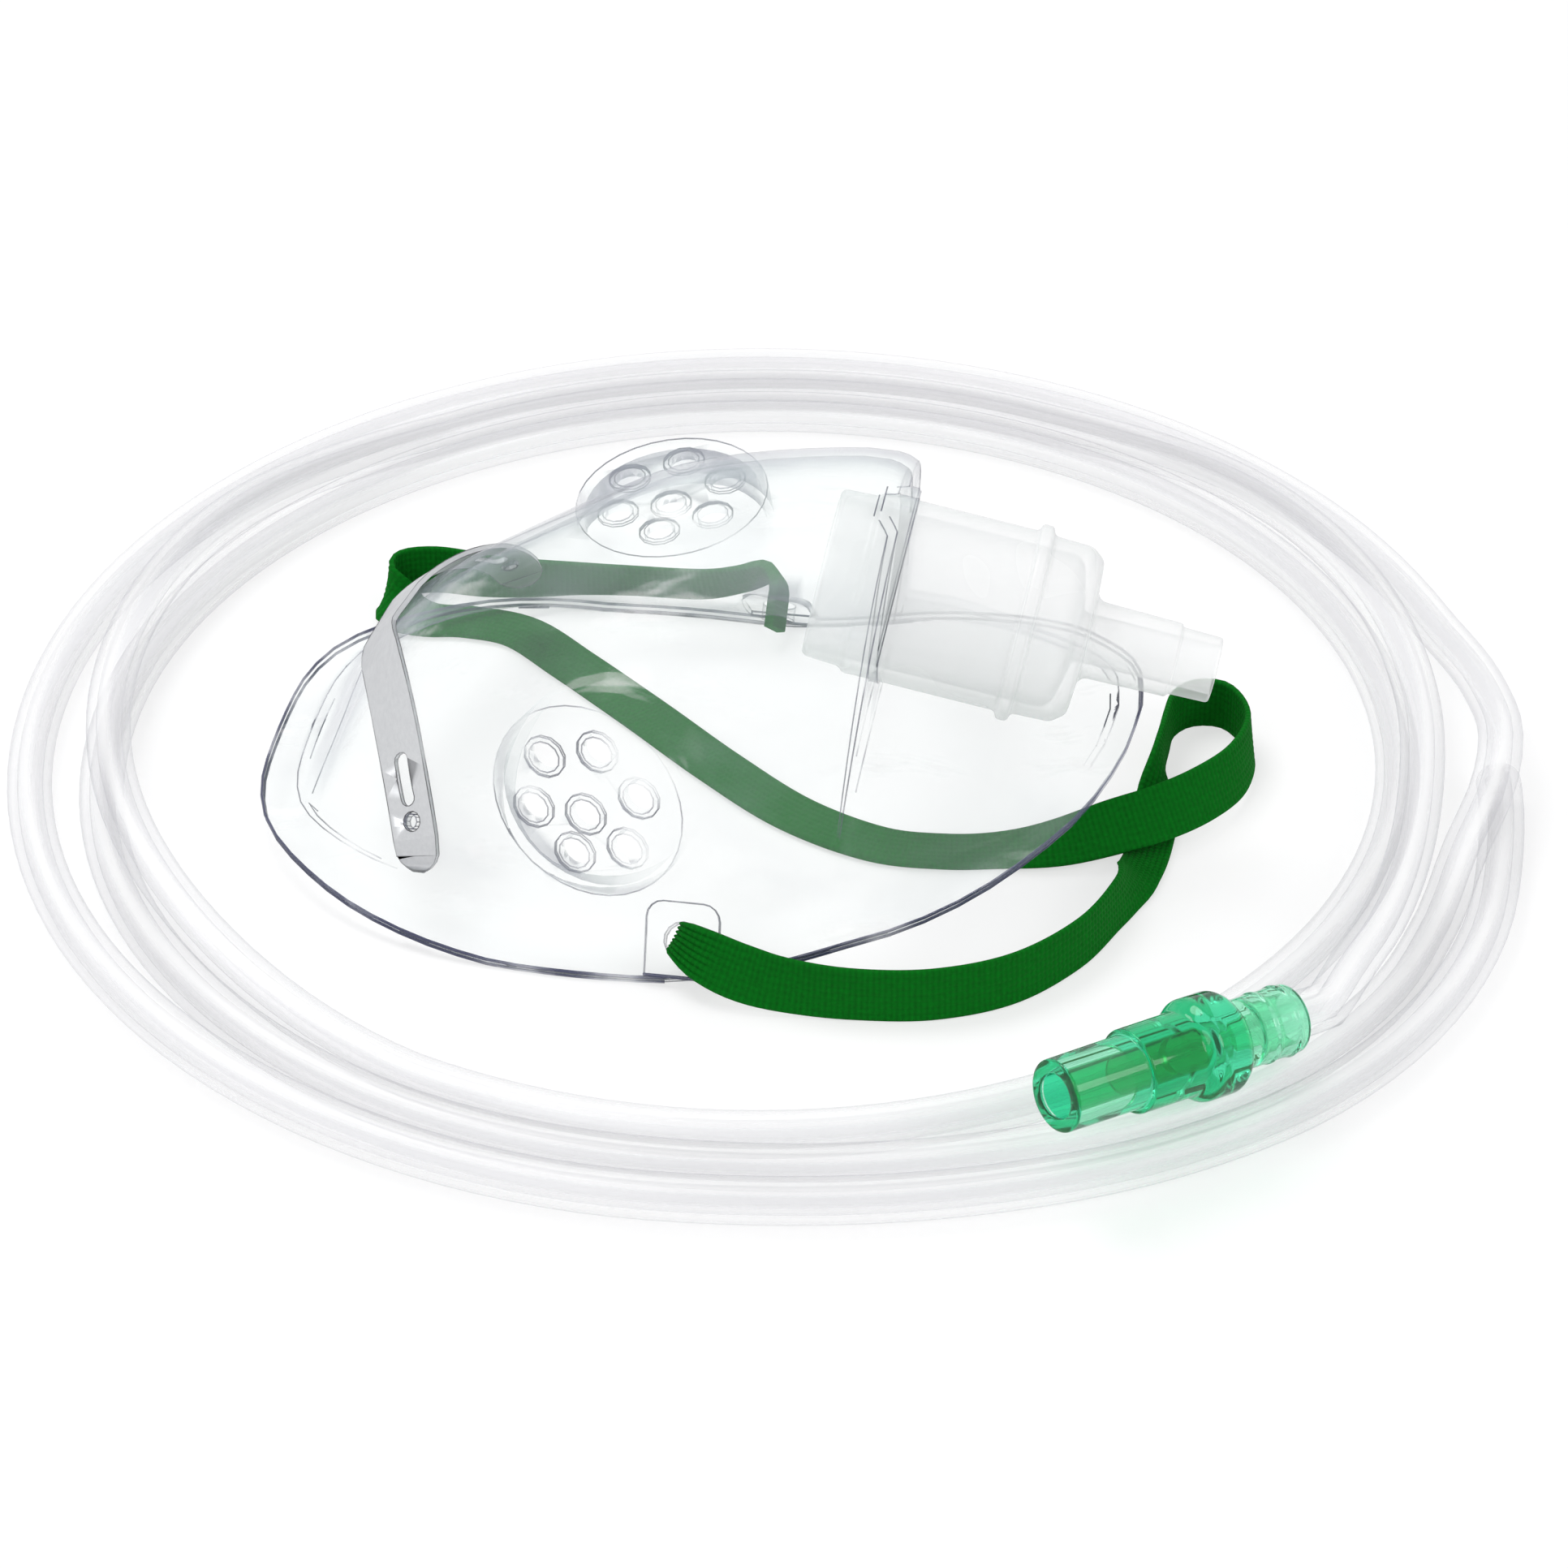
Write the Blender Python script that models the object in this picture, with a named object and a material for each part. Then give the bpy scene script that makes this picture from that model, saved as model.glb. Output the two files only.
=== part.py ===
"""Disposable oxygen face mask laid down with its elastic head strap and its coiled supply tube.

The mask is one clear vinyl moulding: an arched body over a flared sealing flange, a flat
front wall that holds the frosted port connector, two raised vent bosses and two strap tabs.
An aluminium strip is pinned over the nose. The supply tube lies coiled round the mask and
carries a green push-on connector.

Frame: +X from the nose end to the chin end in the plane of symmetry, +Y to the left cheek,
+Z up. The origin is under the middle of the mask with its clip and port connector.
Lengths below are in millimetres and are turned into metres where the meshes are made.
"""
import math

import bmesh
import bpy
import numpy as np
from mathutils import Vector

MM = 0.001
GAP = 0.3

# Mask moulding
WALL = 1.3
RIM_LAND = 1.0
STATIONS_NOSE = 27
STATIONS_CHIN = 13
ROWS_HALF = 11
# Base outline of the body, nose to chin: x, half width.
BASE_OUTLINE = [(-76.8, 0.0), (-76.6, 8.8), (-75.6, 16.4), (-72.6, 23.8), (-66.2, 31.0), (-57.0, 37.7),
                (-46.0, 42.0), (-33.0, 43.9), (-18.0, 44.2), (-5.0, 43.2), (6.0, 42.0), (15.0, 40.6),
                (24.0, 38.6), (33.0, 34.6), (41.0, 28.6), (48.0, 20.4), (52.6, 10.6), (54.0, 0.0)]
# Heights along the body, nose to chin: x, value.
BASE_RISE = [(-78, 6.2), (-70, 7.0), (-60, 7.8), (-46, 8.6), (-20, 9.2), (-5, 9.8), (6, 11.2), (15, 13.0),
             (24, 13.8), (33, 14.8), (41, 16.8), (48, 19.8), (54, 23.8)]
RIM_RISE = [(-78, 4.6), (-70, 3.9), (-60, 2.9), (-54, 2.3), (-48, 1.6), (-42, 0.8), (-36, 0.1), (-31, 0.0),
            (-12, 0.0), (-4, 0.9),
            (6, 3.2), (15, 6.2), (24, 9.0), (33, 12.4), (41, 16.0), (48, 19.2), (54, 23.6)]
FLARE = [(-78, 5.6), (-66, 6.2), (-46, 7.2), (-8, 7.4), (15, 6.6), (33, 5.4), (48, 4.2), (54, 3.6)]
RIDGE = [(-77.5, 6.6), (-74.5, 7.6), (-72.4, 10.0), (-70.6, 14.8), (-67.8, 20.6), (-63.3, 27.0),
         (-58.6, 31.8), (-53.0, 35.8), (-41.8, 42.4), (-33.0, 47.2), (-22.0, 53.2), (-10.0, 57.2),
         (0.0, 59.1), (8.0, 59.9), (11.5, 59.6)]
FULLNESS = [(-78, 2.0), (-70, 1.75), (-60, 1.55), (-48, 1.6), (-34, 1.82), (-20, 2.0), (-4, 2.15), (12, 2.25)]
CUP_TOP = [(15.2, 24.0), (22, 24.2), (29, 23.4), (35, 22.1), (39, 21.5), (44, 21.6), (49, 22.8), (54, 24.4)]
CUP_FULLNESS = 2.3
# A raised bridge runs along the top of the nose, behind the clip.
BRIDGE_HALF = 7.6
BRIDGE_RISE = [(-78, 0.0), (-57, 0.0), (-53, 1.6), (-44, 2.2), (-30, 1.9), (-18, 0.6), (-10, 0.0), (60, 0.0)]

# Front wall and port
WALL_X = 14.5
WALL_STEP = 0.7
WALL_LEAN = 0.11
BEND_X = 11.5
DROOP = math.radians(11.0)
PORT_Z = 42.6
PORT_LINE_X = 15.9
PORT_COLLAR_R = 16.4
PORT_COLLAR_H = 2.6

# Port connector, measured along its axis from the front wall: station, radius.
BODY_R = 14.5
FLANGE_R = 15.9
SHOULDER_R = 14.1
SPIGOT_R = 6.15
SPIGOT_TIP_R = 5.3
SPIGOT_BORE = 3.9
BODY_BORE = 12.3
BODY_BACK = -9.4
FLANGE_AT = 22.0
SHOULDER_END = 33.0
SPIGOT_STEP = 47.2
SPIGOT_END = 54.0

# Vent bosses, right and left: middle of the raised face and its outward direction. The soft mask lies
# a little twisted, so the two differ.
BOSSES = {-1: ((-22.6, -44.6, 28.2), (-0.27, -0.95, 0.10)), 1: ((-25.0, 43.4, 28.2), (-0.30, 0.88, 0.36))}
BOSS_R = 16.2
BOSS_DEEP = 18.0
VENT_R = 2.6
VENT_RIM = 0.85
VENT_RIM_H = 0.5
VENT_RING = 9.4
VENT_TURN = math.radians(20.0)

# Strap tabs
TAB_X = -8.0
TAB_WIDE = 11.4
TAB_LONG = 11.6
TAB_THICK = 1.5
TAB_HOLE_R = 2.8

# Nose clip
CLIP_WIDE = 7.9
CLIP_THICK = 0.8
CLIP_RIDGE_X = -64.2
CLIP_END_X = -49.6
CLIP_END_ANGLE = math.radians(4.5)
PIN_R = 1.2
PIN_HOLE_R = 1.6
PIN_FROM_END = 7.6
PIN_H = 1.5
SLOT_FROM_END = 11.2
SLOT_LONG = 6.6
SLOT_R = 1.25

# Head strap
STRAP_WIDE = 9.0
STRAP_THICK = 1.0

# Supply tube, coiled on the table
TUBE_R = 3.6
COIL_X = -5.0
COIL_Y = 11.9
COIL_STEPS = 27
COIL_END = 1083.0
TUBE_LEAD = 7.0
LAY = 7.56
FLOOR_Z = TUBE_R + 0.05

# Green tube connector, from its open end
CONN_R = 5.6
CONN_REAR_R = 5.3
CONN_MID_R = 6.5
CONN_COLLAR_R = 8.0
CONN_BORE = 3.3
CONN_DEEP = 34.0
CONN_LONG = 44.0
CONN_Z = 19.4
CONN_TILT = math.radians(-6.6)
CONN_TURN = math.radians(44.0)
CONN_AT = (54.9, -94.0)


def table(points, x):
    """Smooth value at x of a curve through the given points."""
    xs = np.array([p[0] for p in points], float)
    ys = np.array([p[1] for p in points], float)
    slope = np.gradient(ys, xs)
    i = int(np.clip(np.searchsorted(xs, x) - 1, 0, len(xs) - 2))
    h = xs[i + 1] - xs[i]
    t = min(max((x - xs[i]) / h, 0.0), 1.0)
    a = (2 * t ** 3 - 3 * t ** 2 + 1) * ys[i] + (t ** 3 - 2 * t ** 2 + t) * h * slope[i]
    return float(a + (3 * t ** 2 - 2 * t ** 3) * ys[i + 1] + (t ** 3 - t ** 2) * h * slope[i + 1])


def spline(points, pitch=None, count=None):
    """Evenly spaced points on a Catmull-Rom curve through rows of numbers, at about the pitch or by count."""
    rows = np.array(points, float)
    ext = np.vstack([2 * rows[0] - rows[1], rows, 2 * rows[-1] - rows[-2]])
    fine = []
    for i in range(1, len(ext) - 2):
        p0, p1, p2, p3 = ext[i - 1:i + 3]
        for t in np.linspace(0, 1, 24, endpoint=False):
            fine.append(0.5 * (2 * p1 + (p2 - p0) * t + (2 * p0 - 5 * p1 + 4 * p2 - p3) * t * t
                               + (3 * p1 - p0 - 3 * p2 + p3) * t ** 3))
    fine.append(ext[-2])
    fine = np.array(fine)
    dims = min(3, rows.shape[1])
    run = np.concatenate([[0], np.cumsum(np.linalg.norm(np.diff(fine[:, :dims], axis=0), axis=1))])
    n = count or int(round(run[-1] / pitch)) + 1
    want = np.linspace(0, run[-1], n)
    return np.stack([np.interp(want, run, fine[:, k]) for k in range(rows.shape[1])], axis=-1)


OUTLINE = spline(BASE_OUTLINE, count=600)


def outline_at(s):
    """Point (x, half width) and outward normal of the base outline at fraction s, nose to chin."""
    at = min(max(s, 0.0), 1.0) * (len(OUTLINE) - 1)
    i = min(int(at), len(OUTLINE) - 2)
    p = OUTLINE[i] + (OUTLINE[i + 1] - OUTLINE[i]) * (at - i)
    if s <= 0.0 or s >= 1.0:
        return float(p[0]), 0.0, (-1.0 if s <= 0.0 else 1.0, 0.0)
    lo = OUTLINE[3 - i] * (1, -1) if i < 3 else OUTLINE[i - 3]
    end = len(OUTLINE) - 1
    hi = OUTLINE[2 * end - i - 4] * (1, -1) if i + 4 > end else OUTLINE[i + 4]
    d = hi - lo
    d /= np.linalg.norm(d)
    return float(p[0]), max(float(p[1]), 0.0), (-float(d[1]), float(d[0]))


def fraction_at(x):
    """Fraction along the base outline where it reaches the given x."""
    i = int(np.searchsorted(OUTLINE[:, 0], x))
    i = min(max(i, 1), len(OUTLINE) - 1)
    a, b = OUTLINE[i - 1, 0], OUTLINE[i, 0]
    return (i - 1 + (x - a) / (b - a)) / (len(OUTLINE) - 1)


def crown(x):
    """Height of the body over its middle line, fullness of its arch and forward lean at x."""
    if x <= WALL_X:
        top = table(RIDGE, min(x, BEND_X))
        if x > BEND_X:
            top -= 1.6 * (1 - math.cos(math.pi / 2 * (x - BEND_X) / (WALL_X - BEND_X)))
        full = table(FULLNESS, min(x, BEND_X))
    else:
        top = table(CUP_TOP, max(x, WALL_X + WALL_STEP))
        full = CUP_FULLNESS
    lean = WALL_LEAN * min(max((x + 20.0) / (WALL_X + 20.0), 0.0), 1.0)
    lean *= min(max((WALL_X + 22.0 - x) / 22.0, 0.0), 1.0)
    return top, full, lean


def body(s, angle, inset=0.0):
    """Point of the body's face: s runs nose to chin, angle from the right cheek over the top."""
    x, w, n = outline_at(s)
    zb = table(BASE_RISE, x)
    top, full, lean = crown(x)
    bridge = table(BRIDGE_RISE, x) if x <= WALL_X else 0.0
    back = 0.0
    if inset:
        slope = crown(x + 0.3)[0] - crown(x - 0.3)[0] if abs(x - WALL_X) > 3 else 0.0
        top -= inset * min(math.hypot(1.0, slope / 0.6), 1.5)
        zb -= 0.35 * inset
        ahead = min(max((x - WALL_X + 10.6) / 9.0, 0.0), 1.0)
        back = inset * (ahead if x <= WALL_X else max(1 - (x - WALL_X) / 14, 0.0))
        x -= n[0] * inset
        w = max(w - n[1] * inset, 0.0)
    c, d = math.cos(angle), max(math.sin(angle), 0.0)
    y = -w * math.copysign(abs(c) ** (2 / full), c)
    lift = max(top - zb, 0.03) * d ** (2 / full)
    lift += bridge / (1 + math.exp((abs(y) - BRIDGE_HALF + inset / 2) / 0.9))
    return np.array([x + lean * lift - back * d, y, zb + lift])


def station_fractions():
    """Fractions along the outline: even steps to the front wall, a close pair at it, even steps after it."""
    a = fraction_at(BEND_X)
    b = fraction_at(WALL_X + WALL_STEP + 2.4)
    nose = list(np.linspace(0, a, STATIONS_NOSE))
    close = [fraction_at(WALL_X + v) for v in (-1.5, -0.5, 0.0, WALL_STEP, WALL_STEP + 0.9)]
    return nose + close + list(np.linspace(b, 1, STATIONS_CHIN))


def row_angles():
    """Angles over the arch, closer near the top where the bridge runs."""
    half = [math.pi / 2 * (j / ROWS_HALF) ** 0.92 for j in range(ROWS_HALF)]
    return half + [math.pi / 2] + [math.pi - v for v in reversed(half)]


def flange(x):
    """Flange section at x, from the foot of its rim up to the body: offset outward, height."""
    f = table(FLARE, x)
    low = max(table(RIM_RISE, x), 0.0)
    rise = table(BASE_RISE, x) - low - RIM_LAND
    return [(f - 0.25, low), (f, low + RIM_LAND), (0.62 * f, low + RIM_LAND + 0.30 * rise),
            (0.26 * f, low + RIM_LAND + 0.64 * rise), (0.0, low + RIM_LAND + rise)]


def face_rows(inset=0.0):
    """Outer face as stations of points, right rim over the top to left rim; the inner face with an inset."""
    rows = []
    for s in station_fractions():
        x, w, n = outline_at(s)
        section = flange(x)
        edge = section[:-1]
        if inset:
            edge = []
            for k in (1, 2, 3):
                a = section[max(k - 1, 1)]
                b = section[k + 1]
                size = math.hypot(b[0] - a[0], b[1] - a[1])
                off = inset / size
                edge.append((section[k][0] - off * (b[1] - a[1]), section[k][1] - off * (a[0] - b[0])))
        right = [np.array([x + n[0] * q, -(w + n[1] * q), z]) for q, z in edge]
        arch = [body(s, v, inset) for v in row_angles()]
        left = [p * (1, -1, 1) for p in reversed(right)]
        rows.append(right + arch + left)
    return rows


def new_object(name, bm, smooth=None):
    """Object from a bmesh in millimetres, in metres and facing outward."""
    bmesh.ops.remove_doubles(bm, verts=bm.verts, dist=0.002)
    bmesh.ops.recalc_face_normals(bm, faces=bm.faces)
    for v in bm.verts:
        v.co = (v.co + SHIFT) * MM
    mesh = bpy.data.meshes.new(name)
    bm.to_mesh(mesh)
    bm.free()
    ob = bpy.data.objects.new(name, mesh)
    bpy.context.scene.collection.objects.link(ob)
    if smooth is not None:
        for p in mesh.polygons:
            p.use_smooth = True
        mesh.set_sharp_from_angle(angle=math.radians(smooth))
    return ob


def material(name, colour, rough, metal=0.0, alpha=1.0, passing=0.0):
    m = bpy.data.materials.new(name)
    m.use_nodes = True
    s = m.node_tree.nodes["Principled BSDF"].inputs
    s["Base Color"].default_value = (*colour, 1.0)
    s["Roughness"].default_value = rough
    s["Metallic"].default_value = metal
    s["Alpha"].default_value = alpha
    s["Transmission Weight"].default_value = passing
    m.diffuse_color = (*colour, alpha)
    return m


def cutter(name, bm):
    ob = new_object(name, bm)
    ob.hide_render = True
    ob.display_type = "WIRE"
    return ob


def combine(ob, other, how):
    m = ob.modifiers.new(other.name, "BOOLEAN")
    m.operation = how
    m.solver = "EXACT"
    m.object = other


def closed_grid(rows, underside=None):
    """Closed solid under a grid of stations whose tips fold to points; the underside can be lowered."""
    bm = bmesh.new()
    n, m = len(rows), len(rows[0])
    vs = [[bm.verts.new(p) for p in row] for row in rows]
    low = [[bm.verts.new(p) for p in pair] for pair in underside] if underside else None
    for i in range(n - 1):
        for j in range(m - 1):
            bm.faces.new((vs[i][j], vs[i][j + 1], vs[i + 1][j + 1], vs[i + 1][j]))
        if low is None:
            bm.faces.new((vs[i][0], vs[i + 1][0], vs[i + 1][m - 1], vs[i][m - 1]))
        else:
            bm.faces.new((vs[i][0], vs[i + 1][0], low[i + 1][0], low[i][0]))
            bm.faces.new((vs[i][m - 1], low[i][1], low[i + 1][1], vs[i + 1][m - 1]))
            bm.faces.new((low[i][0], low[i + 1][0], low[i + 1][1], low[i][1]))
    bmesh.ops.remove_doubles(bm, verts=bm.verts, dist=0.01)
    bmesh.ops.dissolve_degenerate(bm, edges=bm.edges, dist=0.005)
    return bm


def frame_of(axis):
    """Two directions square to the axis and to each other, the second as near upright as it can be."""
    a = np.array(axis, float)
    a /= np.linalg.norm(a)
    side = np.cross(a, (0, 0, 1.0))
    side /= np.linalg.norm(side)
    return a, side, np.cross(side, a)


def turned(bm, origin, axis, profile, segments):
    """Turned body about an axis from (distance, radius) pairs; a zero radius closes to a point."""
    a, side, up = frame_of(axis)
    o = np.array(origin, float)
    rings = []
    for d, r in profile:
        if r <= 1e-6:
            rings.append([bm.verts.new(o + a * d)])
            continue
        turn = [2 * math.pi * (k + 0.5) / segments for k in range(segments)]
        rings.append([bm.verts.new(o + a * d + r * (math.cos(v) * side + math.sin(v) * up)) for v in turn])
    for lo, hi in zip(rings, rings[1:]):
        for k in range(segments):
            q = (k + 1) % segments
            if len(lo) == 1:
                bm.faces.new((lo[0], hi[q], hi[k]))
            elif len(hi) == 1:
                bm.faces.new((lo[k], lo[q], hi[0]))
            else:
                bm.faces.new((lo[k], lo[q], hi[q], hi[k]))
    if len(rings[0]) > 1 and len(rings[-1]) > 1 and tuple(profile[0]) == tuple(profile[-1]):
        return
    for ring in (rings[0], rings[-1]):
        if len(ring) > 1:
            bm.faces.new(ring)


def plug(bm, origin, axis, lo, hi, radius, segments):
    turned(bm, origin, axis, [(lo, radius), (hi, radius)], segments)


def swept(bm, centres, widths, lifts, half_w, half_t):
    """Closed ribbon: centres with a width direction, a thickness direction and half sizes at each."""
    rings = []
    for c, w, l, a, b in zip(centres, widths, lifts, half_w, half_t):
        rings.append([bm.verts.new(c + w * a * i + l * b * j) for i, j in ((-1, -1), (1, -1), (1, 1), (-1, 1))])
    for lo, hi in zip(rings, rings[1:]):
        for k in range(4):
            q = (k + 1) % 4
            bm.faces.new((lo[k], lo[q], hi[q], hi[k]))
    bm.faces.new(rings[0])
    bm.faces.new(rings[-1])


AXIS = np.array([math.cos(DROOP), 0.0, -math.sin(DROOP)])
PORT = np.array([PORT_LINE_X, 0.0, PORT_Z])
NOSE_X = BASE_OUTLINE[0][0] - FLARE[0][1]
TIP_X = PORT_LINE_X + SPIGOT_END * math.cos(DROOP) + SPIGOT_TIP_R * math.sin(DROOP)
SHIFT = Vector((-(NOSE_X + TIP_X) / 2, 0.0, 0.0))


def boss_frame(side):
    """Middle of a vent boss's face and its outward direction; side is -1 right, 1 left."""
    p, n = BOSSES[side]
    n = np.array(n)
    return np.array(p), n / np.linalg.norm(n)


def tab_frame(side):
    """Middle, width, length and outward directions of a strap tab on the flange."""
    s = fraction_at(TAB_X)
    x, w, n = outline_at(s)
    f = table(FLARE, x)
    low = np.array([x + n[0] * f, side * (w + n[1] * f), table(RIM_RISE, x) + RIM_LAND])
    high = np.array([x, side * w, table(BASE_RISE, x)])
    long = (high - low) / np.linalg.norm(high - low)
    wide = np.array([1.0, 0.0, 0.0])
    out = np.cross(wide, long)
    out /= np.linalg.norm(out)
    if out[1] * side < 0:
        out = -out
    mid = low + long * (TAB_LONG / 2 - 0.2)
    return mid, wide, long, out


def clip_line():
    """Nose clip's middle line over the nose: points, width, outward and along directions."""
    pts, angs, fr = [], np.linspace(CLIP_END_ANGLE, math.pi - CLIP_END_ANGLE, 161), []
    for v in angs:
        k = abs(math.cos(v)) ** 1.8
        x = CLIP_RIDGE_X + (CLIP_END_X - CLIP_RIDGE_X) * k
        fr.append(fraction_at(x))
        pts.append(body(fr[-1], v))
    pts = np.array(pts)
    run = np.concatenate([[0], np.cumsum(np.linalg.norm(np.diff(pts, axis=0), axis=1))])
    ends = np.array([0.5, 1.4, 2.6])
    want = np.unique(np.concatenate([np.linspace(0, run[-1], 41), ends, run[-1] - ends]))
    out = []
    for r in want:
        v = float(np.interp(r, run, angs))
        s = float(np.interp(r, run, fr))
        p = body(s, v)
        e = 0.012
        along = body(s + e, v) - body(s - e, v)
        over = body(s, min(v + 0.09, math.pi)) - body(s, max(v - 0.09, 0.0))
        nrm = np.cross(along, over)
        nrm /= np.linalg.norm(nrm)
        if nrm[2] < 0 and abs(math.cos(v)) < 0.9:
            nrm = -nrm
        if nrm[1] * math.copysign(1, -math.cos(v)) < 0 and abs(math.cos(v)) >= 0.9:
            nrm = -nrm
        out.append((r, p, nrm))
    middles = np.array([p for _, p, _ in out])
    tangent = np.gradient(middles, axis=0)
    tangent /= np.linalg.norm(tangent, axis=1, keepdims=True)
    normals = np.array([q for _, _, q in out])
    normals -= tangent * np.sum(normals * tangent, axis=1, keepdims=True)
    normals /= np.linalg.norm(normals, axis=1, keepdims=True)
    wide = np.cross(normals, tangent)
    return want, middles, wide, normals, tangent


def clip_feature(distance, far):
    """Place on the clip's outer face at a distance from one of its ends."""
    run, mid, wide, out, along = clip_line()
    r = run[-1] - distance if far else distance
    pick = [np.array([np.interp(r, run, a[:, k]) for k in range(3)]) for a in (mid, wide, out, along)]
    return [pick[0]] + [v / np.linalg.norm(v) for v in pick[1:]]


def make_mask(look):
    mask = new_object("mask_shell", closed_grid(face_rows()), smooth=38)
    mask.data.materials.append(look)

    bm = bmesh.new()
    for side in (-1, 1):
        p, n = boss_frame(side)
        turned(bm, p, n, [(-BOSS_DEEP, BOSS_R), (-0.5, BOSS_R), (-0.12, BOSS_R - 0.14), (0.0, BOSS_R - 0.5)], 36)
    combine(mask, cutter("boss_bodies", bm), "UNION")

    bm = bmesh.new()
    vents = []
    for side in (-1, 1):
        p, n = boss_frame(side)
        _, across, up = frame_of(n)
        spots = [(0.22, -math.pi / 2)] + [(1.0, VENT_TURN * side + math.radians(60 * k)) for k in range(6)]
        for ring, turn in spots:
            c = p + VENT_RING * ring * (math.cos(turn) * across + math.sin(turn) * up)
            vents.append((c, n))
            plug(bm, c, n, -0.6, VENT_RIM_H, VENT_R + VENT_RIM, 12)
    combine(mask, cutter("vent_rims", bm), "UNION")

    bm = bmesh.new()
    for side in (-1, 1):
        mid, wide, long, out = tab_frame(side)
        a, b, r = TAB_WIDE / 2, TAB_LONG / 2, 2.6
        rim = [(-a, -b), (a, -b)]
        rim += [(a - r + r * math.cos(t), b - r + r * math.sin(t)) for t in np.linspace(0, math.pi / 2, 5)]
        rim += [(-a + r - r * math.sin(t), b - r + r * math.cos(t)) for t in np.linspace(0, math.pi / 2, 5)]
        lo = [bm.verts.new(mid + wide * u + long * v - out * 0.7) for u, v in rim]
        hi = [bm.verts.new(mid + wide * u + long * v + out * (TAB_THICK - 0.7)) for u, v in rim]
        bm.faces.new(lo)
        bm.faces.new(hi)
        for k in range(len(rim)):
            q = (k + 1) % len(rim)
            bm.faces.new((lo[k], lo[q], hi[q], hi[k]))
    for far in (False, True):
        p, _, out, _ = clip_feature(PIN_FROM_END, far)
        plug(bm, p, out, -0.9, PIN_H, PIN_R, 10)
    collar = [(-2.6, PORT_COLLAR_R), (PORT_COLLAR_H - 0.4, PORT_COLLAR_R), (PORT_COLLAR_H, PORT_COLLAR_R - 0.4)]
    turned(bm, PORT, AXIS, collar, 36)
    combine(mask, cutter("tabs_and_collar", bm), "UNION")

    inner = face_rows(WALL)
    under = [(np.array([r[0][0], r[0][1], -25.0]), np.array([r[-1][0], r[-1][1], -25.0])) for r in inner]
    combine(mask, cutter("inside_space", closed_grid(inner, under)), "DIFFERENCE")

    bm = bmesh.new()
    for side in (-1, 1):
        p, n = boss_frame(side)
        plug(bm, p, n, -BOSS_DEEP - 3.0, -WALL, BOSS_R - WALL, 36)
    combine(mask, cutter("boss_insides", bm), "DIFFERENCE")

    bm = bmesh.new()
    for c, n in vents:
        plug(bm, c, n, -3.0, 3.0, VENT_R, 12)
    for side in (-1, 1):
        mid, _, _, out = tab_frame(side)
        plug(bm, mid, out, -4.0, 4.0, TAB_HOLE_R, 14)
    plug(bm, PORT, AXIS, -3.5, 6.0, BODY_R + GAP, 36)
    combine(mask, cutter("through_holes", bm), "DIFFERENCE")
    return mask


def make_clip(look):
    run, mid, wide, out, _ = clip_line()
    end = run[-1]
    half = []
    for r in run:
        d = min(r, end - r)
        k = CLIP_WIDE / 2
        half.append(k if d >= k else max(math.sqrt(max(k * k - (k - d) ** 2, 0.0)), 1.0))
    bm = bmesh.new()
    lift = GAP + 0.1 + CLIP_THICK / 2
    swept(bm, mid + out * lift, wide, out, half, [CLIP_THICK / 2] * len(run))
    clip = new_object("nose_clip", bm, smooth=35)
    clip.data.materials.append(look)
    bm = bmesh.new()
    for far in (False, True):
        p, _, o, _ = clip_feature(PIN_FROM_END, far)
        plug(bm, p, o, -2.0, 4.0, PIN_HOLE_R, 12)
        a, w, o, _ = clip_feature(SLOT_FROM_END, far)
        b = clip_feature(SLOT_FROM_END + SLOT_LONG, far)[0]
        along = (b - a) / np.linalg.norm(b - a)
        rim = [(SLOT_R * math.cos(t), -SLOT_R * math.sin(t)) for t in np.linspace(0, math.pi, 7)]
        rim += [(-u, SLOT_LONG - v) for u, v in rim]
        lo = [bm.verts.new(a + w * u + along * v - o * 2.0) for u, v in rim]
        hi = [bm.verts.new(a + w * u + along * v + o * 4.0) for u, v in rim]
        bm.faces.new(lo)
        bm.faces.new(hi)
        for k in range(len(rim)):
            q = (k + 1) % len(rim)
            bm.faces.new((lo[k], lo[q], hi[q], hi[k]))
    combine(clip, cutter("clip_holes", bm), "DIFFERENCE")
    return clip


def make_port(look):
    profile = [(BODY_BACK, BODY_BORE), (BODY_BACK, BODY_R - 1.6), (BODY_BACK + 0.6, BODY_R - 1.1),
               (-3.4, BODY_R - 0.8), (-2.6, BODY_R), (FLANGE_AT, BODY_R), (FLANGE_AT + 0.3, FLANGE_R - 0.3),
               (FLANGE_AT + 0.7, FLANGE_R), (FLANGE_AT + 1.9, FLANGE_R), (FLANGE_AT + 2.3, FLANGE_R - 0.3),
               (FLANGE_AT + 2.6, SHOULDER_R + 0.2), (SHOULDER_END - 2.2, SHOULDER_R), (SHOULDER_END - 0.8, SHOULDER_R - 0.7),
               (SHOULDER_END, SHOULDER_R - 2.0), (SHOULDER_END + 0.4, SPIGOT_R + 0.9), (SHOULDER_END + 1.2, SPIGOT_R),
               (SPIGOT_STEP, SPIGOT_R - 0.25), (SPIGOT_STEP + 0.3, SPIGOT_TIP_R + 0.1), (SPIGOT_END - 0.4, SPIGOT_TIP_R),
               (SPIGOT_END, SPIGOT_TIP_R - 0.4), (SPIGOT_END, SPIGOT_BORE), (SHOULDER_END - 1.0, SPIGOT_BORE),
               (SHOULDER_END - 2.6, BODY_BORE - 1.5), (SHOULDER_END - 4.0, BODY_BORE), (BODY_BACK, BODY_BORE)]
    bm = bmesh.new()
    turned(bm, PORT, AXIS, profile, 36)
    port = new_object("port_connector", bm, smooth=40)
    port.data.materials.append(look)
    return port


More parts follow.
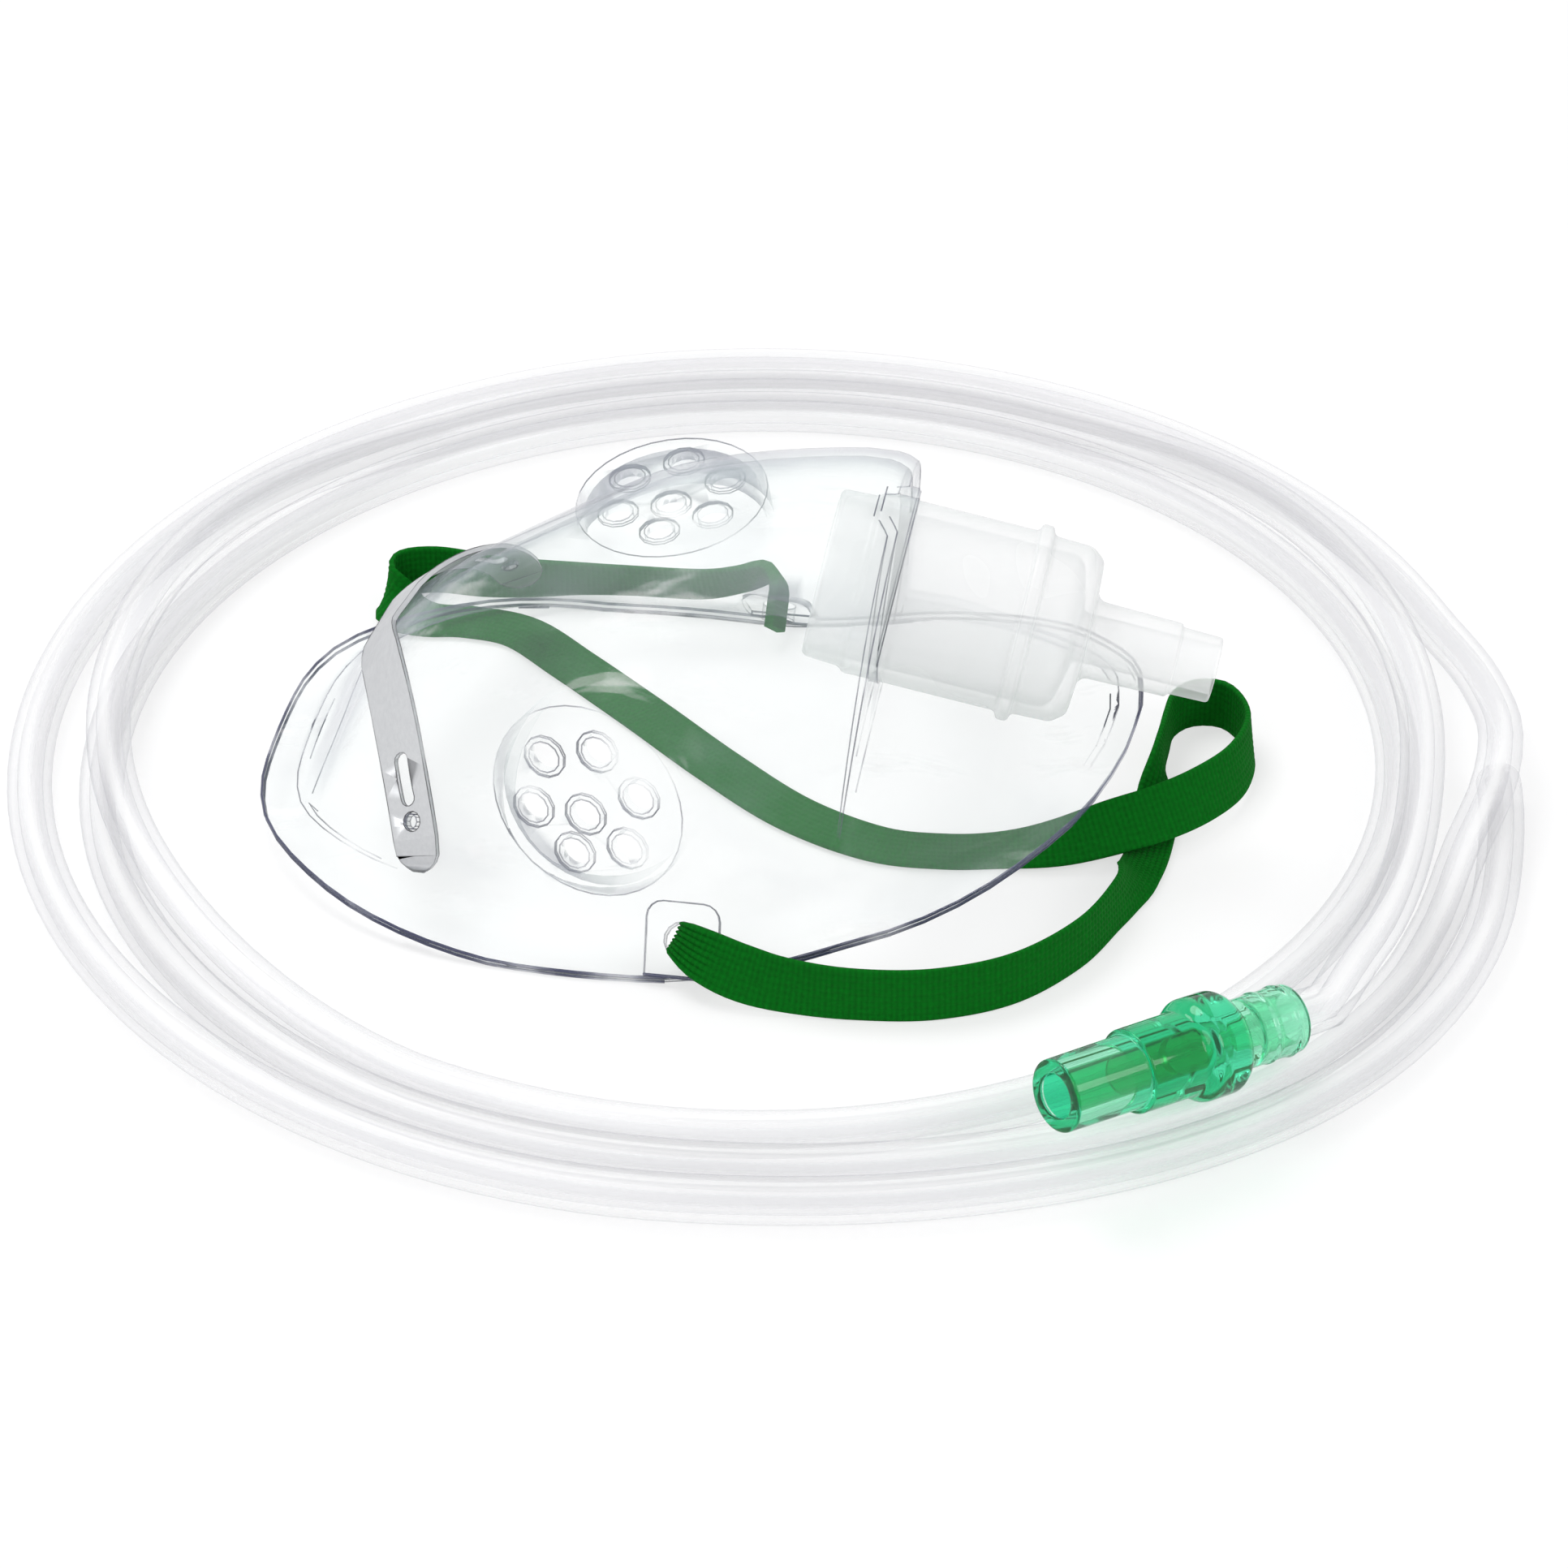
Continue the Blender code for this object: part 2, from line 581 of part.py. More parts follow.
def make_tube_connector(look):
    lean = math.cos(CONN_TILT)
    axis = np.array([math.cos(CONN_TURN) * lean, math.sin(CONN_TURN) * lean, math.sin(CONN_TILT)])
    start = np.array([CONN_AT[0], CONN_AT[1], CONN_Z])
    profile = [(0, CONN_BORE), (0, CONN_R - 0.4), (0.4, CONN_R), (13.5, CONN_R), (14.1, CONN_MID_R), (23.5, CONN_MID_R),
               (24.2, CONN_COLLAR_R - 0.9), (25.2, CONN_COLLAR_R - 0.1), (26.2, CONN_COLLAR_R), (29.6, CONN_COLLAR_R),
               (30.6, CONN_COLLAR_R - 0.1), (31.6, CONN_COLLAR_R - 0.9), (32.2, CONN_REAR_R), (37.6, CONN_REAR_R),
               (38.0, CONN_REAR_R + 0.3), (38.5, CONN_REAR_R), (41.6, CONN_REAR_R), (42.0, CONN_REAR_R + 0.3),
               (42.5, CONN_REAR_R), (CONN_LONG - 0.4, CONN_REAR_R), (CONN_LONG, CONN_REAR_R - 0.4), (CONN_LONG, 0)]
    bm = bmesh.new()
    turned(bm, start, axis, [(CONN_DEEP, 0), (CONN_DEEP, CONN_BORE)] + profile, 24)
    ob = new_object("tube_connector", bm, smooth=40)
    ob.data.materials.append(look)
    return start + axis * CONN_LONG, axis


def coil_route():
    """Tube middle line in turns about the coil: angle in degrees, radius, height, from the connector on."""
    lower = [(129, 103.05, 0), (159, 104.2, 0), (184, 105.8, 0), (214, 108.4, 0), (249, 110.65, 0)]
    lift = [(129, 0), (159, 62), (184, 90), (214, 122), (249, 180)]
    keys = [(-31, 116.2, 13.3), (-24, 113.2, 12.1), (-16, 110.2, 10.8), (-6, 107.7, 10.1), (9, 106.6, 10.45),
            (29, 107.2, 10.2), (49, 109.3, 8.0), (69, 110.7, 3.9), (99, 110.65, FLOOR_Z)]
    for (a, r, _), (_, t) in zip(lower, lift):
        t = math.radians(t)
        keys.append((a, r + LAY * math.cos(t), FLOOR_Z + LAY * math.sin(t)))
    keys += [(a, r, FLOOR_Z) for a, r in ((279, 103.05), (309, 103.0), (339, 103.1), (369, 103.3), (399, 103.2),
                                          (429, 103.1), (459, 103.05))]
    keys += [(a + 360, r, FLOOR_Z) for a, r, _ in lower]
    outer = [(279, 118.25), (294, 120.2), (309, 123.6), (321, 125.8), (334, 125.7), (344, 124.0)]
    keys += [(a + 360, r - LAY, FLOOR_Z) for a, r in outer]
    keys += [(711, 116.4, 7.2), (717, 118.4, 10.4), (723, 119.2, 11.2), (733, 118.8, 7.6), (745, 117.9, FLOOR_Z),
             (765, 117.8, FLOOR_Z), (819, 118.25, FLOOR_Z), (909, 118.4, FLOOR_Z), (984, 118.3, FLOOR_Z)]
    keys += [(a + 720, r, FLOOR_Z) for a, r in outer] + [(1073, 121.4, FLOOR_Z), (COIL_END, 119.4, FLOOR_Z)]
    return keys


def coil_point(angle, r, z):
    a = math.radians(angle)
    return np.array([COIL_X + r * math.cos(a), COIL_Y + r * math.sin(a), z])


def coil_line(start, axis):
    """Points of the tube's middle line, evenly turned about the coil's middle."""
    lead = [start + axis * GAP, start + axis * (GAP + TUBE_LEAD)]
    away = lead[1] - (COIL_X, COIL_Y, 0.0)
    keys = [(math.degrees(math.atan2(away[1], away[0])), math.hypot(away[0], away[1]), away[2])] + coil_route()
    radii = [(k[0], k[1]) for k in keys]
    heights = [(k[0], k[2]) for k in keys]
    step = 360.0 / COIL_STEPS
    angles = [step * k for k in range(-2, int(COIL_END / step) + 1)] + [COIL_END]
    return lead + [coil_point(a, table(radii, a), max(table(heights, a), FLOOR_Z)) for a in angles]


def make_tube(look, start, axis):
    curve = bpy.data.curves.new("supply_tube", "CURVE")
    curve.dimensions = "3D"
    curve.resolution_u = 1
    curve.render_resolution_u = 0
    curve.bevel_depth = TUBE_R * MM
    curve.bevel_resolution = 3
    curve.use_fill_caps = True
    line = coil_line(start, axis)
    s = curve.splines.new("POLY")
    s.points.add(len(line) - 1)
    for p, q in zip(s.points, line):
        p.co = (*((Vector(q) + SHIFT) * MM), 1.0)
    ob = bpy.data.objects.new("supply_tube", curve)
    bpy.context.scene.collection.objects.link(ob)
    curve.materials.append(look)
    return ob


# Strap route from the right tab to the left: x, y, z, roll in degrees (90 stands on edge), half width
# and half thickness. It is bunched where it passes through a tab, and its width is free elsewhere.
FLAT = (STRAP_WIDE / 2, STRAP_THICK / 2)
BUNCH = (1.9, 1.0)
STRAP_ROUTE = [
    (-8.0, -44.6, 3.2, 60, *BUNCH), (-8.0, -47.4, 5.6, 60, *BUNCH), (-7.2, -50.4, 7.8, 60, *BUNCH),
    (-3.4, -52.9, 7.4, 60, 2.6, 0.8), (2.4, -54.4, 6.0, 66, *FLAT), (9.5, -55.2, 5.0, 78, *FLAT),
    (19.8, -55.4, 4.65, 86, *FLAT), (32.2, -53.5, 4.65, 86, *FLAT), (43.8, -47.5, 4.65, 86, *FLAT),
    (52.7, -37.0, 4.7, 80, *FLAT), (57.4, -25.5, 4.2, 56, *FLAT), (58.6, -19.6, 3.05, 33, *FLAT),
    (59.4, -13.5, 1.5, 10, *FLAT), (60.1, -7.0, 0.75, 0, *FLAT), (60.5, 0.0, 0.85, 0, *FLAT),
    (60.5, 6.5, 2.35, 20, *FLAT), (60.3, 11.5, 4.0, 48, *FLAT), (60.0, 16.5, 4.75, 76, *FLAT),
    (60.2, 22.0, 4.75, 88, *FLAT), (60.8, 27.5, 4.75, 90, *FLAT), (63.8, 31.2, 4.75, 90, *FLAT),
    (68.8, 31.4, 4.75, 90, *FLAT), (72.6, 26.4, 4.75, 92, *FLAT), (73.9, 20.0, 5.0, 100, *FLAT),
    (72.2, 11.2, 5.6, 110, *FLAT), (67.6, 3.2, 6.2, 120, *FLAT), (61.6, -2.8, 6.2, 130, *FLAT),
    (55.0, -6.4, 5.4, 142, *FLAT), (46.0, -8.8, 2.9, 162, *FLAT), (37.0, -9.9, 1.2, 178, *FLAT),
    (28.0, -11.2, 0.85, 180, *FLAT), (17.0, -10.8, 0.85, 180, *FLAT), (3.0, -4.6, 0.85, 180, *FLAT),
    (-11.0, 6.4, 0.85, 180, *FLAT), (-25.7, 19.6, 0.85, 180, *FLAT), (-40.0, 32.0, 0.85, 180, *FLAT),
    (-50.5, 40.4, 0.85, 180, *FLAT), (-60.0, 42.2, 0.85, 180, *FLAT), (-66.5, 41.6, 1.05, 176, *FLAT),
    (-71.4, 41.6, 2.95, 150, *FLAT), (-74.3, 44.8, 4.7, 104, *FLAT), (-73.2, 49.4, 4.7, 90, *FLAT),
    (-67.5, 51.6, 4.7, 90, *FLAT), (-59.5, 51.2, 4.7, 94, *FLAT), (-51.0, 51.6, 4.6, 104, *FLAT),
    (-43.5, 52.8, 4.5, 112, *FLAT), (-34.0, 53.8, 4.4, 116, *FLAT), (-22.0, 54.4, 4.5, 116, *FLAT),
    (-15.2, 55.2, 5.8, 116, 3.6, 0.7), (-10.6, 54.4, 8.2, 118, 2.4, 0.9), (-8.2, 50.6, 8.4, 120, *BUNCH),
    (-8.0, 47.4, 5.6, 120, *BUNCH), (-8.0, 44.6, 3.2, 120, *BUNCH)]


def make_strap(look):
    line = spline(STRAP_ROUTE, pitch=5.5)
    pts = line[:, :3]
    t = np.gradient(pts, axis=0)
    t /= np.linalg.norm(t, axis=1, keepdims=True)
    level = np.cross((0, 0, 1.0), t)
    level /= np.linalg.norm(level, axis=1, keepdims=True)
    up = np.cross(t, level)
    roll = np.radians(line[:, 3])[:, None]
    wide = np.cos(roll) * level + np.sin(roll) * up
    out = np.cross(t, wide)
    bm = bmesh.new()
    swept(bm, pts, wide, out, line[:, 4], line[:, 5])
    strap = new_object("elastic_strap", bm, smooth=40)
    strap.data.materials.append(look)
    return strap


def main():
    for ob in list(bpy.data.objects):
        bpy.data.objects.remove(ob, do_unlink=True)
    make_mask(material("clear_vinyl", (0.93, 0.95, 0.96), 0.08, alpha=0.35, passing=0.9))
    make_clip(material("clip_aluminium", (0.78, 0.79, 0.80), 0.32, metal=1.0))
    make_port(material("frosted_plastic", (0.92, 0.94, 0.94), 0.42, alpha=0.8, passing=0.5))
    end, axis = make_tube_connector(material("green_plastic", (0.03, 0.55, 0.32), 0.15, alpha=0.85, passing=0.5))
    make_tube(material("tube_vinyl", (0.92, 0.93, 0.95), 0.12, alpha=0.6, passing=0.8), end, axis)
    make_strap(material("green_elastic", (0.01, 0.23, 0.05), 0.85))


main()
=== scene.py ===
"""Looks of a clear vinyl oxygen mask lying inside its coiled supply tube.

Lengths are in metres. The frame is the part's own: +X from nose to chin, +Y to the left cheek, +Z up.
"""

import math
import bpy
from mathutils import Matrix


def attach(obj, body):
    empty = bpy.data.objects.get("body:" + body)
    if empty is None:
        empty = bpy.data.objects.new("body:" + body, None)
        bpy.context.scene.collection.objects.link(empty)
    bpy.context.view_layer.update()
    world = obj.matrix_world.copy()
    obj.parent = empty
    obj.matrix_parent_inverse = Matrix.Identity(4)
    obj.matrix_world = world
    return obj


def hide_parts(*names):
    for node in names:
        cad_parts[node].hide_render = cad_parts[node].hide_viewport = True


bl_info = {
    "name": "Oxygen mask dresser",
    "version": (1, 0, 0),
    "blender": (4, 5, 0),
    "location": "3D View > Sidebar > Oxygen mask",
    "description": "Dresses an oxygen mask with clear vinyl, frosted fittings, woven elastic and clear tube",
    "category": "Object",
}

import bmesh
import bpy
from bpy.props import FloatProperty, FloatVectorProperty, IntProperty, PointerProperty
from mathutils import Matrix, Vector

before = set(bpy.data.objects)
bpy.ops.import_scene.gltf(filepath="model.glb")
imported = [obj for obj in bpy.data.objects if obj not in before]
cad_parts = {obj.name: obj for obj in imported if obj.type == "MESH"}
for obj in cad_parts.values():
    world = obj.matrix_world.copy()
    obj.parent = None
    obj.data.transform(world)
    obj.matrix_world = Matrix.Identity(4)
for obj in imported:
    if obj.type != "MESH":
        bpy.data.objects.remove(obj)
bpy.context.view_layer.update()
MM = 0.001

# The part's own shift of the mask frame along X.
SHIFT = Vector((0.0062404, 0.0, 0.0))

# Coil of the supply tube about its middle: turn in degrees, radius, height.
COIL_MIDDLE = Vector((-0.0050, 0.0119, 0.0)) + SHIFT
# Height of the tube's middle line on the table, and distance between two touching turns.
FLOOR_LAY = 0.00365
LAY = 0.00756
# In these rows the third number is how far, in degrees, the upper turn has rolled over the lower one.
UNDER_TURN = [(129, 0.10305, 0), (159, 0.1042, 62), (184, 0.1058, 90), (214, 0.1084, 122),
              (249, 0.11065, 180)]
START_TURN = [(-31, 0.1162, 0.0133), (-24, 0.1132, 0.0121), (-16, 0.1102, 0.0108), (-6, 0.1077, 0.0101),
              (9, 0.1066, 0.01045), (29, 0.1072, 0.0102), (49, 0.1093, 0.0080), (69, 0.1107, 0.0039),
              (99, 0.11065, FLOOR_LAY)]
INNER_TURN = [(279, 0.10305), (309, 0.1030), (339, 0.1031), (369, 0.1033), (399, 0.1032), (429, 0.1031),
              (459, 0.10305)]
OUTER_SWELL = [(279, 0.11825), (294, 0.1202), (309, 0.1236), (321, 0.1258), (334, 0.1257), (344, 0.1240)]
OVER_HUMP = [(711, 0.1164, 0.0072), (717, 0.1184, 0.0104), (723, 0.1192, 0.0112), (733, 0.1188, 0.0076),
             (745, 0.1179, FLOOR_LAY), (765, 0.1178, FLOOR_LAY), (819, 0.11825, FLOOR_LAY),
             (909, 0.1184, FLOOR_LAY), (984, 0.1183, FLOOR_LAY)]
COIL_END = [(1073, 0.1214, FLOOR_LAY), (1083, 0.1194, FLOOR_LAY)]

# Green connector: open end, direction and length.
CONN_OPEN = Vector((0.0549, -0.0940, 0.0194)) + SHIFT
CONN_TURN = math.radians(44.0)
CONN_TILT = math.radians(-6.6)
CONN_AXIS = Vector((math.cos(CONN_TURN) * math.cos(CONN_TILT), math.sin(CONN_TURN) * math.cos(CONN_TILT),
                    math.sin(CONN_TILT)))
CONN_LONG = 0.044
# Straight run of the tube behind the connector, and how deep its end sits in it.
TUBE_LEAD = 0.0073
TUBE_INSIDE = 0.0075
BORE_RADIUS = 0.00205
RIB_HEIGHT = 0.00014
# Stretch of the connector, from its open end, that is moulded thick and so looks deeper green.
DEEP_GREEN = (0.0134, 0.0322)

# Port connector: point on its axis at the front wall, and direction.
PORT_AT = Vector((0.0159, 0.0, 0.0426)) + SHIFT
PORT_AXIS = Vector((math.cos(math.radians(11.0)), 0.0, -math.sin(math.radians(11.0))))

# Vent bosses, right and left: middle of the face and outward direction.
BOSSES = ((Vector((-0.0226, -0.0446, 0.0282)) + SHIFT, Vector((-0.27, -0.95, 0.10)).normalized()),
          (Vector((-0.0250, 0.0434, 0.0282)) + SHIFT, Vector((-0.30, 0.88, 0.36)).normalized()))
BOSS_REACH = 0.0185

# Camera: its place, and the point that it looks at.
CAMERA_AT = Vector((0.1151, -0.6832, 0.4875))
CAMERA_AIM = Vector((0.0062, 0.0045, 0.0))

# Distance between two rows of yarn in the elastic, and turn of their wave at its start.
ROW_PITCH = 0.0009
ROW_START = 1.1

# Strap route from the right tab to the left: x, y, z, roll in degrees, half width, half thickness.
STRAP_ROUTE = [
    (-8.0, -44.6, 3.2, 60, 1.9, 1.0), (-8.0, -47.4, 5.6, 60, 2.2, 1.1), (-7.2, -50.4, 7.8, 60, 3.1, 1.1),
    (-3.4, -52.9, 7.4, 62, 4.1, 0.8), (2.4, -54.4, 6.0, 66, 4.5, 0.5), (9.5, -55.2, 5.0, 78, 4.5, 0.5),
    (19.8, -55.4, 4.65, 86, 4.5, 0.5), (32.2, -53.5, 4.65, 86, 4.5, 0.5), (43.8, -47.5, 4.65, 86, 4.5, 0.5),
    (52.7, -37.0, 4.7, 87, 4.5, 0.5), (57.4, -25.5, 4.5, 82, 4.4, 0.5), (58.6, -19.6, 3.8, 62, 4.0, 0.55),
    (59.4, -13.5, 1.9, 22, 3.6, 0.6), (60.1, -7.0, 0.75, 0, 3.6, 0.6), (60.5, 0.0, 0.85, 0, 3.6, 0.6),
    (60.5, 6.5, 2.9, 34, 3.8, 0.6), (60.3, 11.5, 4.6, 70, 4.2, 0.5), (60.0, 16.5, 4.75, 86, 4.5, 0.5),
    (60.2, 22.0, 4.75, 88, 4.5, 0.5), (60.8, 27.5, 4.75, 90, 4.5, 0.5), (63.8, 31.2, 4.75, 90, 4.5, 0.5),
    (68.8, 31.4, 4.75, 90, 4.5, 0.5), (72.6, 26.4, 4.75, 92, 4.5, 0.5), (73.9, 20.0, 5.0, 100, 4.5, 0.5),
    (72.2, 11.2, 5.6, 110, 4.5, 0.5), (67.6, 3.2, 6.2, 120, 4.5, 0.5), (61.6, -2.8, 6.2, 130, 4.5, 0.5),
    (55.0, -6.4, 5.4, 142, 4.5, 0.5), (46.0, -8.8, 2.9, 162, 4.5, 0.5), (37.0, -9.9, 1.2, 178, 4.5, 0.5),
    (28.0, -11.2, 0.85, 180, 4.5, 0.5), (17.0, -10.8, 0.85, 180, 4.5, 0.5), (3.0, -4.6, 0.85, 180, 4.5, 0.5),
    (-11.0, 6.4, 0.85, 180, 4.5, 0.5), (-25.7, 19.6, 0.85, 180, 4.5, 0.5), (-40.0, 32.0, 0.85, 180, 4.5, 0.5),
    (-50.5, 40.4, 0.85, 180, 4.5, 0.5), (-60.0, 42.2, 0.85, 180, 4.5, 0.5), (-66.5, 41.6, 1.05, 176, 4.5, 0.5),
    (-71.4, 41.6, 2.95, 150, 4.5, 0.5), (-74.3, 44.8, 4.7, 104, 4.5, 0.5), (-73.2, 49.4, 4.7, 90, 4.5, 0.5),
    (-67.5, 51.6, 4.7, 90, 4.5, 0.5), (-59.5, 51.2, 4.7, 94, 4.5, 0.5), (-51.0, 51.6, 4.6, 104, 4.5, 0.5),
    (-43.5, 52.8, 4.5, 112, 4.5, 0.5), (-34.0, 53.8, 4.4, 116, 4.5, 0.5), (-22.0, 54.4, 4.5, 116, 4.5, 0.5),
    (-15.2, 55.2, 5.8, 116, 3.6, 0.7), (-10.6, 54.4, 8.2, 118, 2.4, 0.9), (-8.2, 50.6, 8.4, 120, 1.9, 1.0),
    (-8.0, 47.4, 5.6, 120, 1.9, 1.0), (-8.0, 44.6, 3.2, 120, 1.9, 1.0)]


class Wire:
    """One output socket of a finish, with arithmetic that adds its Math nodes."""

    def __init__(self, finish, socket):
        self.finish = finish
        self.socket = socket

    def maths(self, how, *others):
        return self.finish.node("ShaderNodeMath", {"operation": how}, dict(enumerate((self, *others))))

    def __add__(self, other):
        return self.maths("ADD", other)

    def __mul__(self, other):
        return self.maths("MULTIPLY", other)

    def sine(self):
        return self.maths("SINE")

    def at_most(self, other):
        return self.maths("MINIMUM", other)

    def at_least(self, other):
        return self.maths("MAXIMUM", other)


class Finish:
    """Shader nodes of a material, or of the world, being mixed."""

    def __init__(self, owner):
        self.owner = owner
        owner.use_nodes = True
        self.tree = owner.node_tree
        self.tree.nodes.clear()

    def node(self, kind, settings=None, values=None, out=0):
        """New node with its settings and its inputs, which are wires or constants."""
        made = self.tree.nodes.new(kind)
        for name, value in (settings or {}).items():
            setattr(made, name, value)
        for name, value in (values or {}).items():
            if isinstance(value, Wire):
                self.tree.links.new(value.socket, made.inputs[name])
            else:
                made.inputs[name].default_value = value
        return Wire(self, made.outputs[out]) if made.outputs else None

    def place(self, scale=(1, 1, 1), uv=False):
        """Object coordinates, or the piece's own map, stretched by scale."""
        where = self.node("ShaderNodeTexCoord", out=2 if uv else 3)
        return self.node("ShaderNodeMapping", {}, {"Vector": where, "Scale": scale})

    def noise(self, where, scale, detail=2.0, rough=0.5):
        return self.node("ShaderNodeTexNoise", {}, {"Vector": where, "Scale": scale, "Detail": detail,
                                                    "Roughness": rough})

    def blend(self, factor, a, b):
        """Colour between a and b."""
        return self.node("ShaderNodeMix", {"data_type": "RGBA"}, {0: factor, 6: a, 7: b}, out=2)

    def turned(self, low, high):
        """0 up to low and 1 from high, as the surface turns from the eye."""
        facing = self.node("ShaderNodeLayerWeight", {}, {"Blend": 0.5}, out=1)
        return self.between(facing, low, high)

    def between(self, value, low, high):
        """0 up to low and 1 from high, with a soft step between."""
        return self.node("ShaderNodeMapRange", {"interpolation_type": "SMOOTHSTEP"},
                         {"Value": value, "From Min": low, "From Max": high})

    def bump(self, height, depth, strength=1.0):
        return self.node("ShaderNodeBump", {}, {"Height": height, "Distance": depth, "Strength": strength})

    def mixed(self, factor, a, b):
        return self.node("ShaderNodeMixShader", {}, {0: factor, 1: a, 2: b})

    def surface(self, values):
        return self.node("ShaderNodeBsdfPrincipled", {}, values)

    def rays(self, *kinds):
        """1 for a ray of one of the kinds, 0 for any other."""
        path = self.node("ShaderNodeLightPath").socket.node
        found, *others = [Wire(self, path.outputs[kind]) for kind in kinds]
        for other in others:
            found = found.at_least(other)
        return found

    def airy(self, shader, tint, share):
        """Lets a share of the light through, tinted, to what lies beneath, as thin clear plastic does."""
        clear = self.node("ShaderNodeBsdfTransparent", {}, {"Color": tint})
        return self.mixed(self.rays("Is Shadow Ray", "Is Diffuse Ray") * share, shader, clear)

    def close(self, shader, kind="Material"):
        self.node("ShaderNodeOutput" + kind, {}, {"Surface": shader})
        return self.owner


def new_finish(name):
    return Finish(bpy.data.materials.new(name))


def clear_vinyl():
    """Thin clear wall: almost nothing seen square on, denser where it turns away, and greyer there by painted
    shade.
    """
    f = new_finish("clear_vinyl_finish")
    cloud = f.between(f.noise(f.place((1.0, 1.0, 1.8)), 34.0, 3.0), 0.48, 0.72)
    # glint is a painted highlight: white streaks blended into the colour at random places.
    glint = f.between(f.noise(f.place((0.35, 1.3, 0.9)), 95.0, 3.0, 0.6), 0.60, 0.70)
    rim = f.turned(0.50, 0.97)
    # The mint tint of the body is painted light: green light from the strap thrown back by the wall.
    body = f.blend(cloud, (0.84, 0.99, 0.965, 1), (0.64, 0.73, 0.75, 1))
    body = f.blend(glint, body, (1.0, 1.0, 1.0, 1))
    # Painted shade: the dark grey blended in where the wall turns from the eye stands in for the dark outlines
    # of its edges.
    look = f.surface({"Base Color": f.blend(rim, body, (0.28, 0.29, 0.38, 1)), "Roughness": cloud * 0.1 + 0.10,
                      "Alpha": (cloud * 0.05 + glint * 0.16 + rim * 0.34 + 0.05).at_most(0.85)})
    return f.close(look)


def painted_edge_line(name, colour, thin, thick):
    """Dark line painted along the edges of a clear moulding or a metal strip, as painted shade for the dark
    outline those edges show, stronger in some places than in others.
    """
    f = new_finish(name)
    run = f.between(f.noise(f.place(), 60.0, 3.0), 0.36, 0.62)
    tint = f.blend(run, tuple(v * 1.9 for v in colour) + (1,), (*colour, 1))
    look = f.surface({"Base Color": tint, "Roughness": 0.2, "Alpha": run * (thick - thin) + thin})
    return f.close(look)


def clear_tube():
    """Milky clear wall with painted highlight streaks along it for the light from the ribs of its bore, and
    painted shade where it turns away.
    """
    f = new_finish("clear_tube_finish")
    split = f.node("ShaderNodeSeparateXYZ", {}, {0: f.place(uv=True)})
    slow = f.noise(f.place((0.2, 1.4, 1.0), uv=True), 3.0, 0.0)
    # Painted highlights: white streaks around the tube, greyer between them, stand in for the light that its
    # ribbed bore bends.
    painted_streak = f.between(((split + slow * 0.05) * (2 * math.pi * 4)).sine(), -0.6, 1.0)
    rim = f.turned(0.60, 0.98)
    body = f.blend(painted_streak, (0.80, 0.80, 0.83, 1), (1.0, 1.0, 1.0, 1))
    # Painted shade: the grey blended in where the wall turns from the eye.
    look = f.surface({"Base Color": f.blend(rim, body, (0.48, 0.48, 0.54, 1)), "Roughness": slow * 0.1 + 0.12,
                      "Alpha": (painted_streak * 0.14 + rim * 0.24 + 0.15).at_most(0.9)})
    return f.close(look)


def frosted_plastic():
    f = new_finish("frosted_plastic_finish")
    where = f.place()
    grain = f.noise(where, 900.0, 2.0)
    cloud = f.between(f.noise(where, 60.0, 1.0), 0.20, 0.80)
    rim = f.turned(0.30, 0.98)
    body = f.blend(cloud, (0.93, 0.94, 0.94, 1), (1.0, 1.0, 1.0, 1))
    # Painted shade: the grey blended in where the surface turns from the eye.
    look = f.surface({"Base Color": f.blend(rim, body, (0.82, 0.84, 0.84, 1)),
                      "Roughness": cloud * 0.15 + 0.20, "Alpha": (rim * 0.34 + 0.30).at_most(0.95),
                      "Normal": f.bump(grain, 0.00005, 0.4)})
    return f.close(look)


def green_plastic(name, face, edge):
    """Clear green wall of colour face, and of colour edge where it turns away: a deeper green partly from the
    slant path through the wall and partly painted shade.
    """
    f = new_finish(name)
    cloud = f.noise(f.place(), 90.0, 3.0)
    tint = f.blend(f.turned(0.45, 0.98), (*face, 1), (*edge, 1))
    look = f.surface({"Base Color": tint, "Roughness": cloud * 0.05 + 0.02, "Transmission Weight": 0.96,
                      "IOR": 1.36})
    # Painted shade: dark green laid over the very edges that turn from the eye.
    rim = f.surface({"Base Color": (0.0, 0.22, 0.08, 1), "Roughness": 0.2})
    return f.close(f.airy(f.mixed(f.turned(0.74, 0.98) * 0.6, look, rim), (0.75, 0.97, 0.87, 1), 0.6))


def clip_metal():
    f = new_finish("clip_metal_finish")
    where = f.place((60.0, 6.0, 60.0))
    brushed = f.noise(where, 30.0, 4.0, 0.7)
    cloud = f.noise(f.place(), 70.0, 2.0)
    tint = f.blend(brushed, (0.52, 0.53, 0.55, 1), (0.68, 0.69, 0.70, 1))
    look = f.surface({"Base Color": tint, "Metallic": 1.0, "Roughness": cloud * 0.22 + 0.26,
                      "Normal": f.bump(brushed, 0.00003, 0.4)})
    return f.close(look)


def green_elastic():
    """Green yarn in fine rows across the elastic, whose cords are in the piece's shape."""
    f = new_finish("green_elastic_finish")
    along = f.node("ShaderNodeSeparateXYZ", {}, {0: f.place(uv=True)}, out=1)
    fuzz = f.noise(f.place(), 1400.0, 2.0)
    row = (along * (2 * math.pi / ROW_PITCH) + ROW_START).sine() * 0.5 + 0.5
    tint = f.blend(row * 0.07 + fuzz * 0.20 + 0.17411, (0.0, 0.022, 0.001, 1), (0.001, 0.34, 0.018, 1))
    look = f.surface({"Base Color": tint, "Roughness": fuzz * 0.15 + 0.8, "Specular IOR Level": 0.10,
                      "Normal": f.bump(row, 0.00008)})
    return f.close(look)


